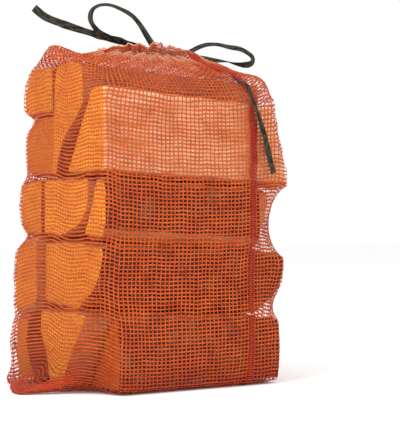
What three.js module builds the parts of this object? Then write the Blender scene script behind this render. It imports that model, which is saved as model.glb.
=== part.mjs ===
// Firewood bundle: split logs in a net bag that a flat drawstring ties shut with a bow.
//
// Millimetres. +X runs along the logs, +Y from the front of the stack to its back, +Z up.
// The origin is on the floor, under the middle of the bag. The pieces are laid out round the
// stack's own middle, which lies MIDDLE_X to the right of it.

import * as THREE from 'three';
import { mergeVertices } from 'three/addons/utils/BufferGeometryUtils.js';

// ---- driving dimensions ----------------------------------------------------------------------

const MIDDLE_X = 26; // from the origin to the middle of the stack

const LOG_LEFT = -125; // where an ordinary log's left end is sawn
const LOG_RIGHT = 126; // and its right end
const LOG_STATIONS = 6; // lengthwise steps in one log
const BARK_STEPS = 6; // short steps that round off one stretch of bark
const STACK_DROP = 13; // how much lower the upper rows lie at their right end

const NET_SIDES = 32; // facets round the bag
const NET_WALL = 2.5; // the net with its folds, as one wall
const NET_CLEAR = 2; // from the wall's inner face to the logs
const NET_FLOOR = 2; // thickness of the bag's bottom
const NET_PITCH = 19; // height of one band of the bag's side
const NET_BRIDGE = 21; // how far above and below a log the taut net still follows it
const NET_SIDE_TOP = 396; // where the side turns in over the top logs
// The slack corner of the bag's bottom, which lies on the floor beside the logs' left ends, as [x, y].
const POOL = [[-181, -48], [-186, -22], [-180, 16], [-166, 56], [-146, 98], [-163, -78]];

const MOUTH_X = 5; // centre of the gathered mouth
const NECK_LENGTH = 75; // half sizes of the gather, along X and Y
const NECK_WIDTH = 18;
const NECK_HEIGHT = 404;
const RIM_LENGTH = 88; // half sizes of the ruffle above the gather
const RIM_WIDTH = 27;
const RIM_HEIGHT = 418;
const HEM_STRAIGHT = 32; // half the straight part of the drawstring's run in the hem
const HEM_TURN = 15.5; // radius of its round ends
const HEM_HEIGHT = 412;
const HEM_START = -110; // degrees round the mouth, from the right, where the run starts and ends
const HEM_END = -420;
const HEM_STEP = 31;
const DROOP_FROM = 20; // the gather falls away to the right of this X
const NECK_DROOP = 0.3; // fall of the gather, and of its ruffle, for each mm along X
const RIM_DROOP = 0.36;

const TAPE_TUBE = 5; // the flat tape's room, as a round tube
const TAPE_SIDES = 8;
const KNOT_CENTRE = new THREE.Vector3(10, 2, 406);
const KNOT_RADIUS = 8;

// ---- finishes --------------------------------------------------------------------------------

const wood = () => new THREE.MeshStandardMaterial({ color: 0xdcb27c, roughness: 0.8, metalness: 0 });
const net = () => new THREE.MeshStandardMaterial({ color: 0xe24a22, roughness: 0.5, metalness: 0 });
const tape = () => new THREE.MeshStandardMaterial({ color: 0x2c2d24, roughness: 0.6, metalness: 0 });

// ---- split logs ------------------------------------------------------------------------------

// Each corner of a log's section is [y, z]. A third number bows the edge that follows it outwards
// by that much: that edge is bark, and the straight ones are split faces. drop is how much lower
// the right end lies, taper how much thinner it is, and lean tilts a sawn end along the log.
const LOGS = [
  {
    name: 'log_top_front',
    section: [[-103, 258], [-12, 258], [-45, 310], [-64, 338], [-70, 352], [-102, 355]],
    right: 121, leanRight: -0.26, drop: STACK_DROP,
  },
  {
    name: 'log_top_middle',
    section: [[19, 256], [26, 256], [24, 300], [22, 366], [15, 387], [-22, 389], [-49, 384], [-52, 341], [-37, 323], [-17, 310], [-1, 296], [8, 280]],
    drop: STACK_DROP,
  },
  {
    name: 'log_top_back_upper',
    section: [[28, 333], [100, 333, 4], [99, 368], [90, 382, 2], [72, 389], [30, 387]],
    left: -124, drop: STACK_DROP,
  },
  {
    name: 'log_top_back_lower',
    section: [[30, 257], [99, 260, 4], [104, 306], [86, 326], [30, 328]],
    left: -121, drop: STACK_DROP,
  },
  {
    name: 'log_second_front',
    section: [[-96, 181], [-55, 184], [-72, 216], [-84, 248], [-102, 247, 3], [-103, 191]],
    right: 90, drop: STACK_DROP,
  },
  {
    name: 'log_second_middle',
    section: [[-8, 184], [43, 185], [43, 249], [-71, 249], [-70, 228], [-64, 212], [-48, 196]],
    left: -128, drop: STACK_DROP,
  },
  {
    name: 'log_second_back',
    section: [[47, 184], [92, 184, 7], [99, 246], [47, 249]],
    left: -130, right: 118, drop: STACK_DROP,
  },
  {
    name: 'log_third_front',
    section: [[-42, 97], [42, 102], [42, 172], [-20, 176], [-101, 171, 11], [-66, 113]],
    left: -127, right: 130, drop: STACK_DROP, taper: -0.03,
  },
  {
    name: 'log_third_back',
    section: [[46, 102], [101, 86, 4], [102, 160], [84, 172], [46, 176]],
    left: -137, right: 112, drop: STACK_DROP,
  },
  {
    name: 'log_bottom_front',
    section: [[-30, 4], [-5, 4], [10, 36], [32, 66], [35, 90], [-22, 93], [-80, 92], [-48, 40]],
    left: -140, leanLeft: 0.08, right: 118, taper: -0.16,
  },
  {
    name: 'log_bottom_corner',
    section: [[-101, 5], [-40, 5], [-58, 40], [-88, 86], [-101, 87, 3]],
    left: -106, right: 122, taper: -0.1,
  },
  {
    name: 'log_bottom_back',
    section: [[56, 6], [98, 5, 4], [101, 78], [70, 78], [78, 50]],
    left: -136, right: 122, taper: -0.16,
  },
];

// A section's corners with every bark edge rounded: a point between two corners moves out from the
// chord by the bow times 4 t (1 - t), which is a parabola that stays within a hair of an arc.
function sectionPoints(section) {
  const points = [];
  section.forEach(([y, z, bow = 0], index) => {
    const [nextY, nextZ] = section[(index + 1) % section.length];
    const chord = Math.hypot(nextY - y, nextZ - z);
    const steps = bow > 0 ? BARK_STEPS : 1;
    for (let step = 0; step < steps; step += 1) {
      const t = step / steps;
      const out = bow * 4 * t * (1 - t) / chord;
      points.push([y + (nextY - y) * t + (nextZ - z) * out, z + (nextZ - z) * t - (nextY - y) * out]);
    }
  });
  return points;
}

// Moves a point of the straight prism, given as the part of the length and its place in the
// section, to where it lies in the log.
function placeInLog(log, along, y, z) {
  const { left = LOG_LEFT, right = LOG_RIGHT, drop = 0, taper = 0, leanLeft = 0, leanRight = 0 } = log;
  const ys = log.section.map((corner) => corner[0]);
  const zs = log.section.map((corner) => corner[1]);
  const middleY = (Math.min(...ys) + Math.max(...ys)) / 2;
  const bottomZ = Math.min(...zs);
  const middleZ = (bottomZ + Math.max(...zs)) / 2;
  const scale = 1 + taper * along;
  const lean = THREE.MathUtils.lerp(leanLeft, leanRight, along) * (z - middleZ);
  return new THREE.Vector3(
    THREE.MathUtils.lerp(left, right, along) + lean,
    middleY + (y - middleY) * scale,
    bottomZ + (z - bottomZ) * scale - drop * along,
  );
}

function buildLog(log) {
  const shape = new THREE.Shape(sectionPoints(log.section).map(([y, z]) => new THREE.Vector2(y, z)));
  const geometry = new THREE.ExtrudeGeometry(shape, { depth: 1, steps: LOG_STATIONS, bevelEnabled: false });
  const position = geometry.getAttribute('position');
  for (let index = 0; index < position.count; index += 1) {
    const along = position.getZ(index);
    const placed = placeInLog(log, along, position.getX(index), position.getY(index));
    position.setXYZ(index, placed.x, placed.y, placed.z);
  }
  const mesh = new THREE.Mesh(geometry, wood());
  mesh.name = log.name;
  return mesh;
}

// ---- net bag ---------------------------------------------------------------------------------

// Points on the logs' long edges and ends that the net is stretched over.
function contactPoints() {
  const points = [];
  for (const log of LOGS) {
    const outline = sectionPoints(log.section);
    outline.forEach(([y, z], index) => {
      const [nextY, nextZ] = outline[(index + 1) % outline.length];
      const pieces = Math.ceil(Math.hypot(nextY - y, nextZ - z) / 8);
      for (let piece = 0; piece < pieces; piece += 1) {
        const t = piece / pieces;
        for (const along of [0, 1]) {
          points.push(placeInLog(log, along, y + (nextY - y) * t, z + (nextZ - z) * t));
        }
      }
    });
  }
  return points;
}

const facetAngle = (side) => (2 * Math.PI * side) / NET_SIDES;

// How far the logs near one height, and anything else given, reach in each facet's direction,
// measured from the Z axis.
function reachAt(points, height, others = []) {
  const near = points.filter((point) => Math.abs(point.z - height) <= NET_BRIDGE).concat(others);
  return Array.from({ length: NET_SIDES }, (_, side) => {
    const angle = facetAngle(side);
    return Math.max(...near.map((point) => point.x * Math.cos(angle) + point.y * Math.sin(angle)));
  });
}

// The same for an ellipse round the mouth's centre.
function ellipseReach(halfLength, halfWidth) {
  return Array.from({ length: NET_SIDES }, (_, side) => {
    const angle = facetAngle(side);
    const reach = Math.hypot(halfLength * Math.cos(angle), halfWidth * Math.sin(angle));
    return reach + MOUTH_X * Math.cos(angle);
  });
}

// One ring of the bag: the convex outline whose facets touch the given reaches grown by an offset.
function ring(reach, offset, heightAt) {
  const turn = facetAngle(1);
  return reach.map((value, side) => {
    const angle = facetAngle(side);
    const here = value + offset;
    const next = reach[(side + 1) % NET_SIDES] + offset;
    const slide = (next - here * Math.cos(turn)) / Math.sin(turn);
    const x = here * Math.cos(angle) - slide * Math.sin(angle);
    const y = here * Math.sin(angle) + slide * Math.cos(angle);
    return new THREE.Vector3(x, y, heightAt(x));
  });
}

const mix = (from, to, share) => from.map((value, side) => value + (to[side] - value) * share);
const droop = (x, slope) => slope * Math.max(0, x - DROOP_FROM);

function bagRings() {
  const points = contactPoints();
  const outer = [];
  const inner = [];
  const level = (height) => () => height;
  const foot = reachAt(points, 0, POOL.map(([x, y]) => new THREE.Vector3(x, y, 0)));
  outer.push(ring(foot, NET_CLEAR + 0.5, level(0)), ring(foot, NET_CLEAR + NET_WALL, level(5)));
  inner.push(ring(foot, 1, level(NET_FLOOR)), ring(foot, NET_CLEAR, level(5)));
  const bands = Math.round(NET_SIDE_TOP / NET_PITCH);
  for (let band = 1; band <= bands; band += 1) {
    const height = (NET_SIDE_TOP * band) / bands;
    const reach = reachAt(points, height);
    outer.push(ring(reach, NET_CLEAR + NET_WALL, level(height)));
    inner.push(ring(reach, NET_CLEAR, level(height - NET_FLOOR)));
  }
  const top = reachAt(points, NET_SIDE_TOP);
  const neck = ellipseReach(NECK_LENGTH, NECK_WIDTH);
  const rim = ellipseReach(RIM_LENGTH, RIM_WIDTH);
  const shoulder = mix(top, neck, 0.5);
  const shoulderHeight = (NET_SIDE_TOP + NECK_HEIGHT) / 2;
  const shoulderAt = (x) => shoulderHeight - droop(x, NECK_DROOP) / 2;
  const neckAt = (x) => NECK_HEIGHT - droop(x, NECK_DROOP);
  const rimAt = (x) => RIM_HEIGHT - droop(x, RIM_DROOP);
  outer.push(ring(shoulder, 0, shoulderAt), ring(neck, 0, neckAt), ring(rim, 0, rimAt));
  inner.push(
    ring(shoulder, 0, (x) => shoulderAt(x) - NET_WALL),
    ring(neck, -NET_WALL, neckAt),
    ring(rim, -NET_WALL, rimAt),
  );
  return { outer, inner };
}

// A closed skin through a run of rings, with a flat fan over the first and over the last.
function skin(rings) {
  const vertices = rings.flat().flatMap((point) => [point.x, point.y, point.z]);
  const index = [];
  for (let row = 0; row + 1 < rings.length; row += 1) {
    for (let side = 0; side < NET_SIDES; side += 1) {
      const a = row * NET_SIDES + side;
      const b = row * NET_SIDES + ((side + 1) % NET_SIDES);
      index.push(a, b, b + NET_SIDES, a, b + NET_SIDES, a + NET_SIDES);
    }
  }
  const last = (rings.length - 1) * NET_SIDES;
  for (let side = 1; side + 1 < NET_SIDES; side += 1) {
    index.push(0, side + 1, side, last, last + side, last + side + 1);
  }
  const geometry = new THREE.BufferGeometry();
  geometry.setAttribute('position', new THREE.Float32BufferAttribute(vertices, 3));
  geometry.setIndex(index);
  return geometry;
}

function buildBag() {
  const { outer, inner } = bagRings();
  const mesh = new THREE.Mesh(mergeVertices(skin([...outer, ...inner.reverse()])), net());
  mesh.name = 'net_bag';
  return mesh;
}

// ---- drawstring ------------------------------------------------------------------------------

// Routes of the tape's free stretches. Each starts on the knot; a loop also ends there.
const LOOP_LEFT = [
  [-7, 1, 410], [-34, 2, 419], [-65, 3.7, 427], [-77, 4.2, 434], [-84.5, 4.6, 445], [-83, 4.5, 456],
  [-75, 4.1, 462.5], [-61, 3.5, 465], [-45, 2.6, 461.5], [-28, 1.8, 454], [-17, 1.3, 443.5],
  [-7, 1, 430], [5.5, 1, 414],
];
const LOOP_RIGHT = [
  [17, 1, 412.5], [33, -3, 410], [49, -6.5, 412.5], [58, -8.5, 417.5], [66.8, -10.6, 421.6],
  [75.5, -12.6, 424], [88.7, -15.7, 424.4], [102, -18.8, 422], [118, -22.6, 420], [127, -24.7, 416],
  [134, -26.4, 410.4], [134.2, -26.3, 405], [131, -25.6, 402], [124.4, -24, 400.8], [111, -20.9, 402],
  [97.6, -17.8, 404.2], [84.3, -14.7, 405], [71, -10, 406], [50, -1, 408.5], [34, 3, 407.5],
  [19.5, 4, 405.5],
];
const TAIL_LEFT = [
  [2.5, 7.5, 409.5], [-10, 12, 417], [-27, 15.5, 422], [-37, 18, 424.5], [-55, 22.5, 428], [-73, 28.4, 433],
  [-91, 34.2, 438], [-108, 40, 443.5], [-126, 45.7, 450.5], [-139, 50, 461],
];
const TAIL_RIGHT = [
  [15, -4.5, 411], [26, -10, 415], [40, -16, 416], [54, -22, 412], [64, -30, 405], [70, -42, 397.5],
  [72, -58, 389], [69, -76, 380.5], [67, -92, 371.5], [68, -108.5, 364], [71, -113.5, 350.3],
  [78.9, -112.5, 336.7], [86.4, -112, 318.8], [92.7, -112, 300.8], [99, -112, 278.5], [105.1, -112, 258.4],
];
// The stretch inside the hem: out of the knot, once round the mouth with round ends, and back.
function hemRoute() {
  const points = [[5, -6.3, 409]];
  for (let degrees = HEM_START; degrees >= HEM_END; degrees -= HEM_STEP) {
    const angle = THREE.MathUtils.degToRad(degrees);
    const x = MOUTH_X + HEM_STRAIGHT * Math.sign(Math.cos(angle)) + HEM_TURN * Math.cos(angle);
    points.push([x, HEM_TURN * Math.sin(angle), HEM_HEIGHT - droop(x, NECK_DROOP)]);
  }
  points.push([21, -10, 407.5], [13, -7.2, 402]);
  return points;
}

function buildTape(name, route, steps) {
  const curve = new THREE.CatmullRomCurve3(route.map((point) => new THREE.Vector3(...point)), false, 'centripetal');
  const section = new THREE.Shape(
    Array.from({ length: TAPE_SIDES }, (_, side) => {
      const angle = (2 * Math.PI * side) / TAPE_SIDES;
      return new THREE.Vector2(Math.cos(angle), Math.sin(angle)).multiplyScalar(TAPE_TUBE / 2);
    }),
  );
  const geometry = new THREE.ExtrudeGeometry(section, { steps, extrudePath: curve });
  const mesh = new THREE.Mesh(geometry, tape());
  mesh.name = name;
  return mesh;
}

function buildKnot() {
  const mesh = new THREE.Mesh(new THREE.SphereGeometry(KNOT_RADIUS, 10, 8), tape());
  mesh.position.copy(KNOT_CENTRE);
  mesh.name = 'drawstring_knot';
  return mesh;
}

// ---- the bundle ------------------------------------------------------------------------------

const bundle = new THREE.Group();
bundle.name = 'firewood_bundle';
bundle.position.x = MIDDLE_X;
LOGS.forEach((log) => bundle.add(buildLog(log)));
bundle.add(buildBag());
bundle.add(buildKnot());
bundle.add(buildTape('drawstring_hem_run', hemRoute(), 28));
bundle.add(buildTape('drawstring_loop_left', LOOP_LEFT, 18));
bundle.add(buildTape('drawstring_loop_right', LOOP_RIGHT, 22));
bundle.add(buildTape('drawstring_tail_left', TAIL_LEFT, 12));
bundle.add(buildTape('drawstring_tail_right', TAIL_RIGHT, 20));

export default bundle;
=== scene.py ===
"""A firewood bundle: split logs in an orange net bag that a flat dark tape ties shut with a bow.

Everything is in metres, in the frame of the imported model: +X along the logs, +Y from the front of
the stack to its back, +Z up, with the origin on the floor under the middle of the bag.
"""

import logging
import math
from dataclasses import dataclass, field
from enum import Enum
from typing import ClassVar, Iterable, Sequence

import bpy
import numpy as np
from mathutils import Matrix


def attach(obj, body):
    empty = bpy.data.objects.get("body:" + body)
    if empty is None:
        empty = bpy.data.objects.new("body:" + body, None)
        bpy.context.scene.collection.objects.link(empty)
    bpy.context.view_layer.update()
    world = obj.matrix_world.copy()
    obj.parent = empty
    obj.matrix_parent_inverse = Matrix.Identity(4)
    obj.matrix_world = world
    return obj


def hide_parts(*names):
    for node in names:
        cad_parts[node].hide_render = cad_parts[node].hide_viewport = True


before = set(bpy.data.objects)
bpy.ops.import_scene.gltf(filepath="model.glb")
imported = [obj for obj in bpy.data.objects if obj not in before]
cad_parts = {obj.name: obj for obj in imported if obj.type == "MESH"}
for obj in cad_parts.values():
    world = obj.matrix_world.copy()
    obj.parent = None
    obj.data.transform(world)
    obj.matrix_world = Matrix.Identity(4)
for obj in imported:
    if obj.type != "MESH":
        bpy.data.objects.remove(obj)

LOG = logging.getLogger("firewood_bundle")
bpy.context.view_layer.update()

MM = 0.001
MIDDLE_X = 26 * MM  # from the origin to the middle of the stack
STACK_DROP = 13 * MM  # how much lower the upper rows lie at their right end
BODY = "root"
Array = np.ndarray

HASH_AXES = np.array([127.1, 311.7, 74.7])  # how far a step along each axis turns the noise's sine
HASH_SEED = 17.3  # how far a step of the seed turns it
HASH_SPREAD = 43758.5453  # stretches the sine until its fraction looks random
SPLINE_STEPS = 24  # samples in each span, before they are spaced evenly
BAND_START = 0.04  # where a face starts in its band of a flat map
BAND_FILL = 0.92  # how much of the band it fills
CAP_FILL = 0.3  # how much of a step a strand's end face fills


# ---- surfaces --------------------------------------------------------------------------------


def eased(share: Array) -> Array:
    """A share from 0 to 1 that starts and stops gently: 3 f squared minus 2 f cubed."""
    return share * share * (3 - 2 * share)


def value_noise(points: Array, seed: float = 0.0) -> Array:
    """Smooth noise from -1 to 1, one cell to each unit.

    Random values sit on the whole numbers, and between them the value is the mix of the eight
    round it, with eased shares.

    Args:
        points: places, one row of three numbers each.
        seed: picks another pattern.

    Returns:
        One value for each point.
    """
    cell = np.floor(points)
    share = eased(points - cell)
    total = np.zeros(len(points))
    for corner in np.ndindex(2, 2, 2):
        at = cell + corner
        value = np.sin(at @ HASH_AXES + seed * HASH_SEED) * HASH_SPREAD
        weight = np.prod(np.where(corner, share, 1 - share), axis=1)
        total += weight * (value - np.floor(value))
    return 2 * total - 1


def layered_noise(points: Array, seed: float = 0.0, layers: int = 3) -> Array:
    """Value noise summed over layers, each half as tall and twice as fine as the last.

    Args:
        points: places, one row of three numbers each.
        seed: picks another pattern.
        layers: number of layers.

    Returns:
        One value for each point.
    """
    total = np.zeros(len(points))
    for layer in range(layers):
        total += value_noise(points * 2.0**layer, seed + layer) / 2.0**layer
    return total


def unit(vectors: Array) -> Array:
    """Vectors scaled to a length of one."""
    return vectors / np.maximum(np.linalg.norm(vectors, axis=-1, keepdims=True), 1e-12)


def grid_faces(rows: int, columns: int, closed: bool = False, start: int = 0) -> Array:
    """Quads between neighbouring points of a grid stored row by row.

    Args:
        rows: number of rows.
        columns: number of points in a row.
        closed: joins the last column to the first.
        start: number of the grid's first point.

    Returns:
        Four point numbers for each face.
    """
    spans = columns if closed else columns - 1
    row, column = np.meshgrid(np.arange(rows - 1), np.arange(spans), indexing="ij")
    here = row * columns + column
    beside = row * columns + (column + 1) % columns
    return start + np.stack([here, beside, beside + columns, here + columns], axis=-1).reshape(-1, 4)


def strip_map(strips: int, steps: int, closed: bool, caps: bool) -> Array:
    """A flat map of strands whose section has four sides, one thin band for each side.

    Along a strand the map runs from 0 to 1 across the page, and bands lie one above another. A
    strand's two end faces share the two ends of its first band.

    Args:
        strips: number of strands.
        steps: crossings along each.
        closed: each strand closes on itself.
        caps: open strands have end faces.

    Returns:
        Two numbers for every corner of every quad, in the order of the strands' faces.
    """
    spans = steps if closed else steps - 1
    bands = strips * 4
    left = np.arange(spans) / spans
    bottom = (np.arange(bands).reshape(strips, 1, 4) + BAND_START) / bands
    low_left = np.stack(np.broadcast_arrays(left[None, :, None], bottom), axis=-1)
    right, up = np.array([1 / spans, 0.0]), np.array([0.0, BAND_FILL / bands])
    corners = [low_left, low_left + right, low_left + right + up, low_left + up]
    page = np.stack(corners, axis=-2).reshape(-1, 4, 2)
    if not caps:
        return page
    square = np.array([[0, 0], [1, 0], [1, 1], [0, 1]]) * np.array([CAP_FILL / spans, BAND_FILL / bands])
    ends = [
        np.stack([np.full(strips, start), bottom[:, 0, 0]], axis=1)[:, None] + square
        for start in (0.0, 1 - CAP_FILL / spans)
    ]
    return np.vstack([page, *ends])


def faces_inwards(points: Array, middles: Array, quads: Array) -> bool:
    """Whether most faces round a middle line look towards it.

    A face looks along the cross product of its two diagonals.

    Args:
        points: places, n by 3.
        middles: the middle line's place beside each point.
        quads: point numbers, m by 4.

    Returns:
        True if the faces have to be turned over.
    """
    first, second, third, fourth = points[quads].transpose(1, 0, 2)
    outward = np.cross(third - first, fourth - second)
    return bool(np.median(((points - middles)[quads[:, 0]] * outward).sum(axis=1)) < 0)


def make_piece(
    name: str,
    points: Array,
    quads: Array,
    material: bpy.types.Material,
    replaced: Sequence[str],
    corner_values: dict[str, Array] | None = None,
    sharp_angle: float | None = None,
    unrolled: Array | None = None,
) -> bpy.types.Object:
    """Puts arrays into a mesh object that rides on the bundle.

    Args:
        name: the piece's name.
        points: places, n by 3.
        quads: point numbers, m by 4. A triangle repeats its last point.
        material: its finish.
        replaced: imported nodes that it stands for.
        corner_values: attributes, each with three numbers for every corner of every quad.
        sharp_angle: edges that turn more than this, in degrees, stay crisp.
        unrolled: where every corner of every quad lies on the piece's flat map, from 0 to 1.

    Returns:
        The new object.
    """
    corners = np.ones(quads.shape, bool)
    corners[:, 3] = quads[:, 3] != quads[:, 2]
    sizes = corners.sum(axis=1)
    mesh = bpy.data.meshes.new(name)
    mesh.vertices.add(len(points))
    mesh.vertices.foreach_set("co", np.ascontiguousarray(points, np.float32).ravel())
    mesh.loops.add(int(sizes.sum()))
    mesh.loops.foreach_set("vertex_index", quads[corners].astype(np.int32))
    mesh.polygons.add(len(quads))
    mesh.polygons.foreach_set("loop_start", (np.cumsum(sizes) - sizes).astype(np.int32))
    mesh.polygons.foreach_set("use_smooth", np.ones(len(quads), bool))
    for attribute, values in (corner_values or {}).items():
        layer = mesh.attributes.new(attribute, "FLOAT_VECTOR", "CORNER")
        layer.data.foreach_set("vector", np.ascontiguousarray(values[corners], np.float32).ravel())
    if unrolled is not None:
        flat_map = mesh.uv_layers.new(name="OFBake")
        flat_map.data.foreach_set("uv", np.ascontiguousarray(unrolled[corners], np.float32).ravel())
    mesh.update(calc_edges=True)
    mesh.validate()
    if sharp_angle is not None:
        mesh.set_sharp_from_angle(angle=math.radians(sharp_angle))
    mesh.materials.append(material)
    piece = bpy.data.objects.new(name, mesh)
    bpy.context.collection.objects.link(piece)
    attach(piece, BODY)
    if replaced:
        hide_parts(*replaced)
    LOG.info("%s: %d points, %d faces", name, len(points), len(quads))
    return piece


def spline(route: Array, spacing: float) -> Array:
    """A smooth curve through points, sampled at even steps.

    Each span is the centripetal Catmull-Rom curve through the four points round it: a mix of mixes
    whose shares run with the square root of the distance between the points.

    Args:
        route: points to pass through, n by 3.
        spacing: length of a step.

    Returns:
        Points along the curve.
    """
    ends = np.vstack([2 * route[0] - route[1], route, 2 * route[-1] - route[-2]])
    pieces = []
    share = np.linspace(0, 1, SPLINE_STEPS, endpoint=False)[:, None]
    for a, b, c, d in zip(ends[:-3], ends[1:-2], ends[2:-1], ends[3:]):
        knots = np.cumsum([0, *(np.linalg.norm(q - p) ** 0.5 for p, q in ((a, b), (b, c), (c, d)))])
        at = knots[1] + share * (knots[2] - knots[1])

        def between(p: Array, q: Array, first: int, last: int) -> Array:
            """The straight mix of two curves between two knots."""
            part = (at - knots[first]) / (knots[last] - knots[first])
            return p * (1 - part) + q * part

        low, middle, high = between(a, b, 0, 1), between(b, c, 1, 2), between(c, d, 2, 3)
        pieces.append(between(between(low, middle, 0, 2), between(middle, high, 1, 3), 1, 2))
    dense = np.vstack([*pieces, route[-1:]])
    length = np.concatenate([[0], np.cumsum(np.linalg.norm(np.diff(dense, axis=0), axis=1))])
    even = np.linspace(0, length[-1], max(2, round(length[-1] / spacing) + 1))
    return np.stack([np.interp(even, length, dense[:, axis]) for axis in range(3)], axis=1)


# ---- shader language -------------------------------------------------------------------------


class Wire:
    """A socket whose arithmetic adds Math nodes to its tree."""

    def __init__(self, shader: "Shader", socket: bpy.types.NodeSocket) -> None:
        """Wraps one output socket."""
        self.shader = shader
        self.socket = socket

    def math(self, operation: str, *others: "Wire | float", first: bool = True) -> "Wire":
        """One Math node over this wire and others, with this wire first unless told otherwise."""
        values = [self, *others] if first else [*others, self]
        made = self.shader.node("ShaderNodeMath", {"operation": operation}, dict(enumerate(values)))
        return Wire(self.shader, made.outputs[0])

    def __add__(self, other: "Wire | float") -> "Wire":
        """Sum."""
        return self.math("ADD", other)

    def __mul__(self, other: "Wire | float") -> "Wire":
        """Product."""
        return self.math("MULTIPLY", other)

    def __sub__(self, other: "Wire | float") -> "Wire":
        """Difference."""
        return self.math("SUBTRACT", other)

    def __rsub__(self, other: float) -> "Wire":
        """Difference the other way round."""
        return self.math("SUBTRACT", other, first=False)

    def __pow__(self, other: "Wire | float") -> "Wire":
        """Power."""
        return self.math("POWER", other)

    __radd__ = __add__
    __rmul__ = __mul__

    def sine(self) -> "Wire":
        """Sine of the value, in radians."""
        return self.math("SINE")

    def band(self, low: float, high: float) -> "Wire":
        """Smooth step from 0 at low to 1 at high."""
        made = self.shader.node(
            "ShaderNodeMapRange",
            {"interpolation_type": "SMOOTHSTEP", "clamp": True},
            {"Value": self, "From Min": low, "From Max": high},
        )
        return Wire(self.shader, made.outputs[0])


class Shader:
    """Builds one material's nodes."""

    def __init__(self, name: str) -> None:
        """Starts a material with only a Principled shader and its output."""
        self.material = bpy.data.materials.new(name)
        self.material.use_nodes = True
        self.tree = self.material.node_tree
        self.principled = self.tree.nodes["Principled BSDF"]

    def node(
        self,
        kind: str,
        settings: dict[str, object] | None = None,
        inputs: dict[str | int, object] | None = None,
    ) -> bpy.types.Node:
        """Adds one node.

        Args:
            kind: its type.
            settings: its own properties, set first. "stops" fills a ramp.
            inputs: values or wires for its sockets, by name or number.

        Returns:
            The node.
        """
        made = self.tree.nodes.new(kind)
        for key, value in (settings or {}).items():
            if key == "stops":
                while len(made.color_ramp.elements) < len(value):
                    made.color_ramp.elements.new(0.5)
                for element, (place, colour) in zip(made.color_ramp.elements, value):
                    element.position = place
                    element.color = (*colour, 1.0)
            else:
                setattr(made, key, value)
        self.feed(made, inputs or {})
        return made

    def feed(self, made: bpy.types.Node, inputs: dict[str | int, object]) -> None:
        """Sets or links a node's input sockets."""
        for key, value in inputs.items():
            if isinstance(value, Wire):
                self.tree.links.new(value.socket, made.inputs[key])
            else:
                made.inputs[key].default_value = value

    def attribute(self, name: str) -> tuple["Wire", "Wire", "Wire", "Wire"]:
        """Reads an attribute of the mesh.

        Args:
            name: the attribute's name.

        Returns:
            It as a vector, and its three numbers.
        """
        read = self.node("ShaderNodeAttribute", {"attribute_name": name})
        vector = Wire(self, read.outputs["Vector"])
        parts = self.node("ShaderNodeSeparateXYZ", inputs={0: vector})
        return (vector, *(Wire(self, parts.outputs[axis]) for axis in range(3)))

    def object_place(self) -> "Wire":
        """The place on the object, in metres."""
        return Wire(self, self.node("ShaderNodeTexCoord").outputs["Object"])

    def stretched(self, vector: "Wire", scale: Sequence[float]) -> "Wire":
        """A vector with each part scaled by its own factor."""
        inputs = {0: vector, 1: tuple(scale)}
        made = self.node("ShaderNodeVectorMath", {"operation": "MULTIPLY"}, inputs)
        return Wire(self, made.outputs[0])

    def noise(self, vector: "Wire", scale: float = 1.0, detail: float = 3.0, rough: float = 0.55) -> "Wire":
        """Noise from 0 to 1."""
        inputs = {"Vector": vector, "Scale": scale, "Detail": detail, "Roughness": rough}
        return Wire(self, self.node("ShaderNodeTexNoise", None, inputs).outputs[0])

    def ramp(self, value: "Wire", stops: Iterable[tuple[float, tuple[float, float, float]]]) -> "Wire":
        """Colour by value."""
        made = self.node("ShaderNodeValToRGB", {"stops": list(stops)}, {0: value})
        return Wire(self, made.outputs[0])

    def mix(self, share: "Wire | float", low: object, high: object, blend: str = "MIX") -> "Wire":
        """Mixes two colours.

        Args:
            share: how much of the second one shows.
            low: the first colour, as a wire or three numbers.
            high: the second colour.
            blend: how the second one is laid over the first.

        Returns:
            The mixed colour.
        """
        ends = [value if isinstance(value, Wire) else (*value, 1.0) for value in (low, high)]
        made = self.node(
            "ShaderNodeMix",
            {"data_type": "RGBA", "blend_type": blend},
            {0: share, 6: ends[0], 7: ends[1]},
        )
        return Wire(self, made.outputs[2])

    def bump(self, height: "Wire", distance: float, strength: float = 1.0) -> "Wire":
        """A normal bent by a height from 0 to 1 that stands for a distance in metres."""
        inputs = {"Height": height, "Distance": distance, "Strength": strength}
        return Wire(self, self.node("ShaderNodeBump", None, inputs).outputs[0])

    def finish(self, **inputs: object) -> bpy.types.Material:
        """Feeds the Principled shader, with _ in a name for a space, and hands over the material."""
        self.feed(self.principled, {name.replace("_", " "): value for name, value in inputs.items()})
        return self.material


# ---- finishes --------------------------------------------------------------------------------

Colour = tuple[float, float, float]
Scale = tuple[float, float, float]


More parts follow.
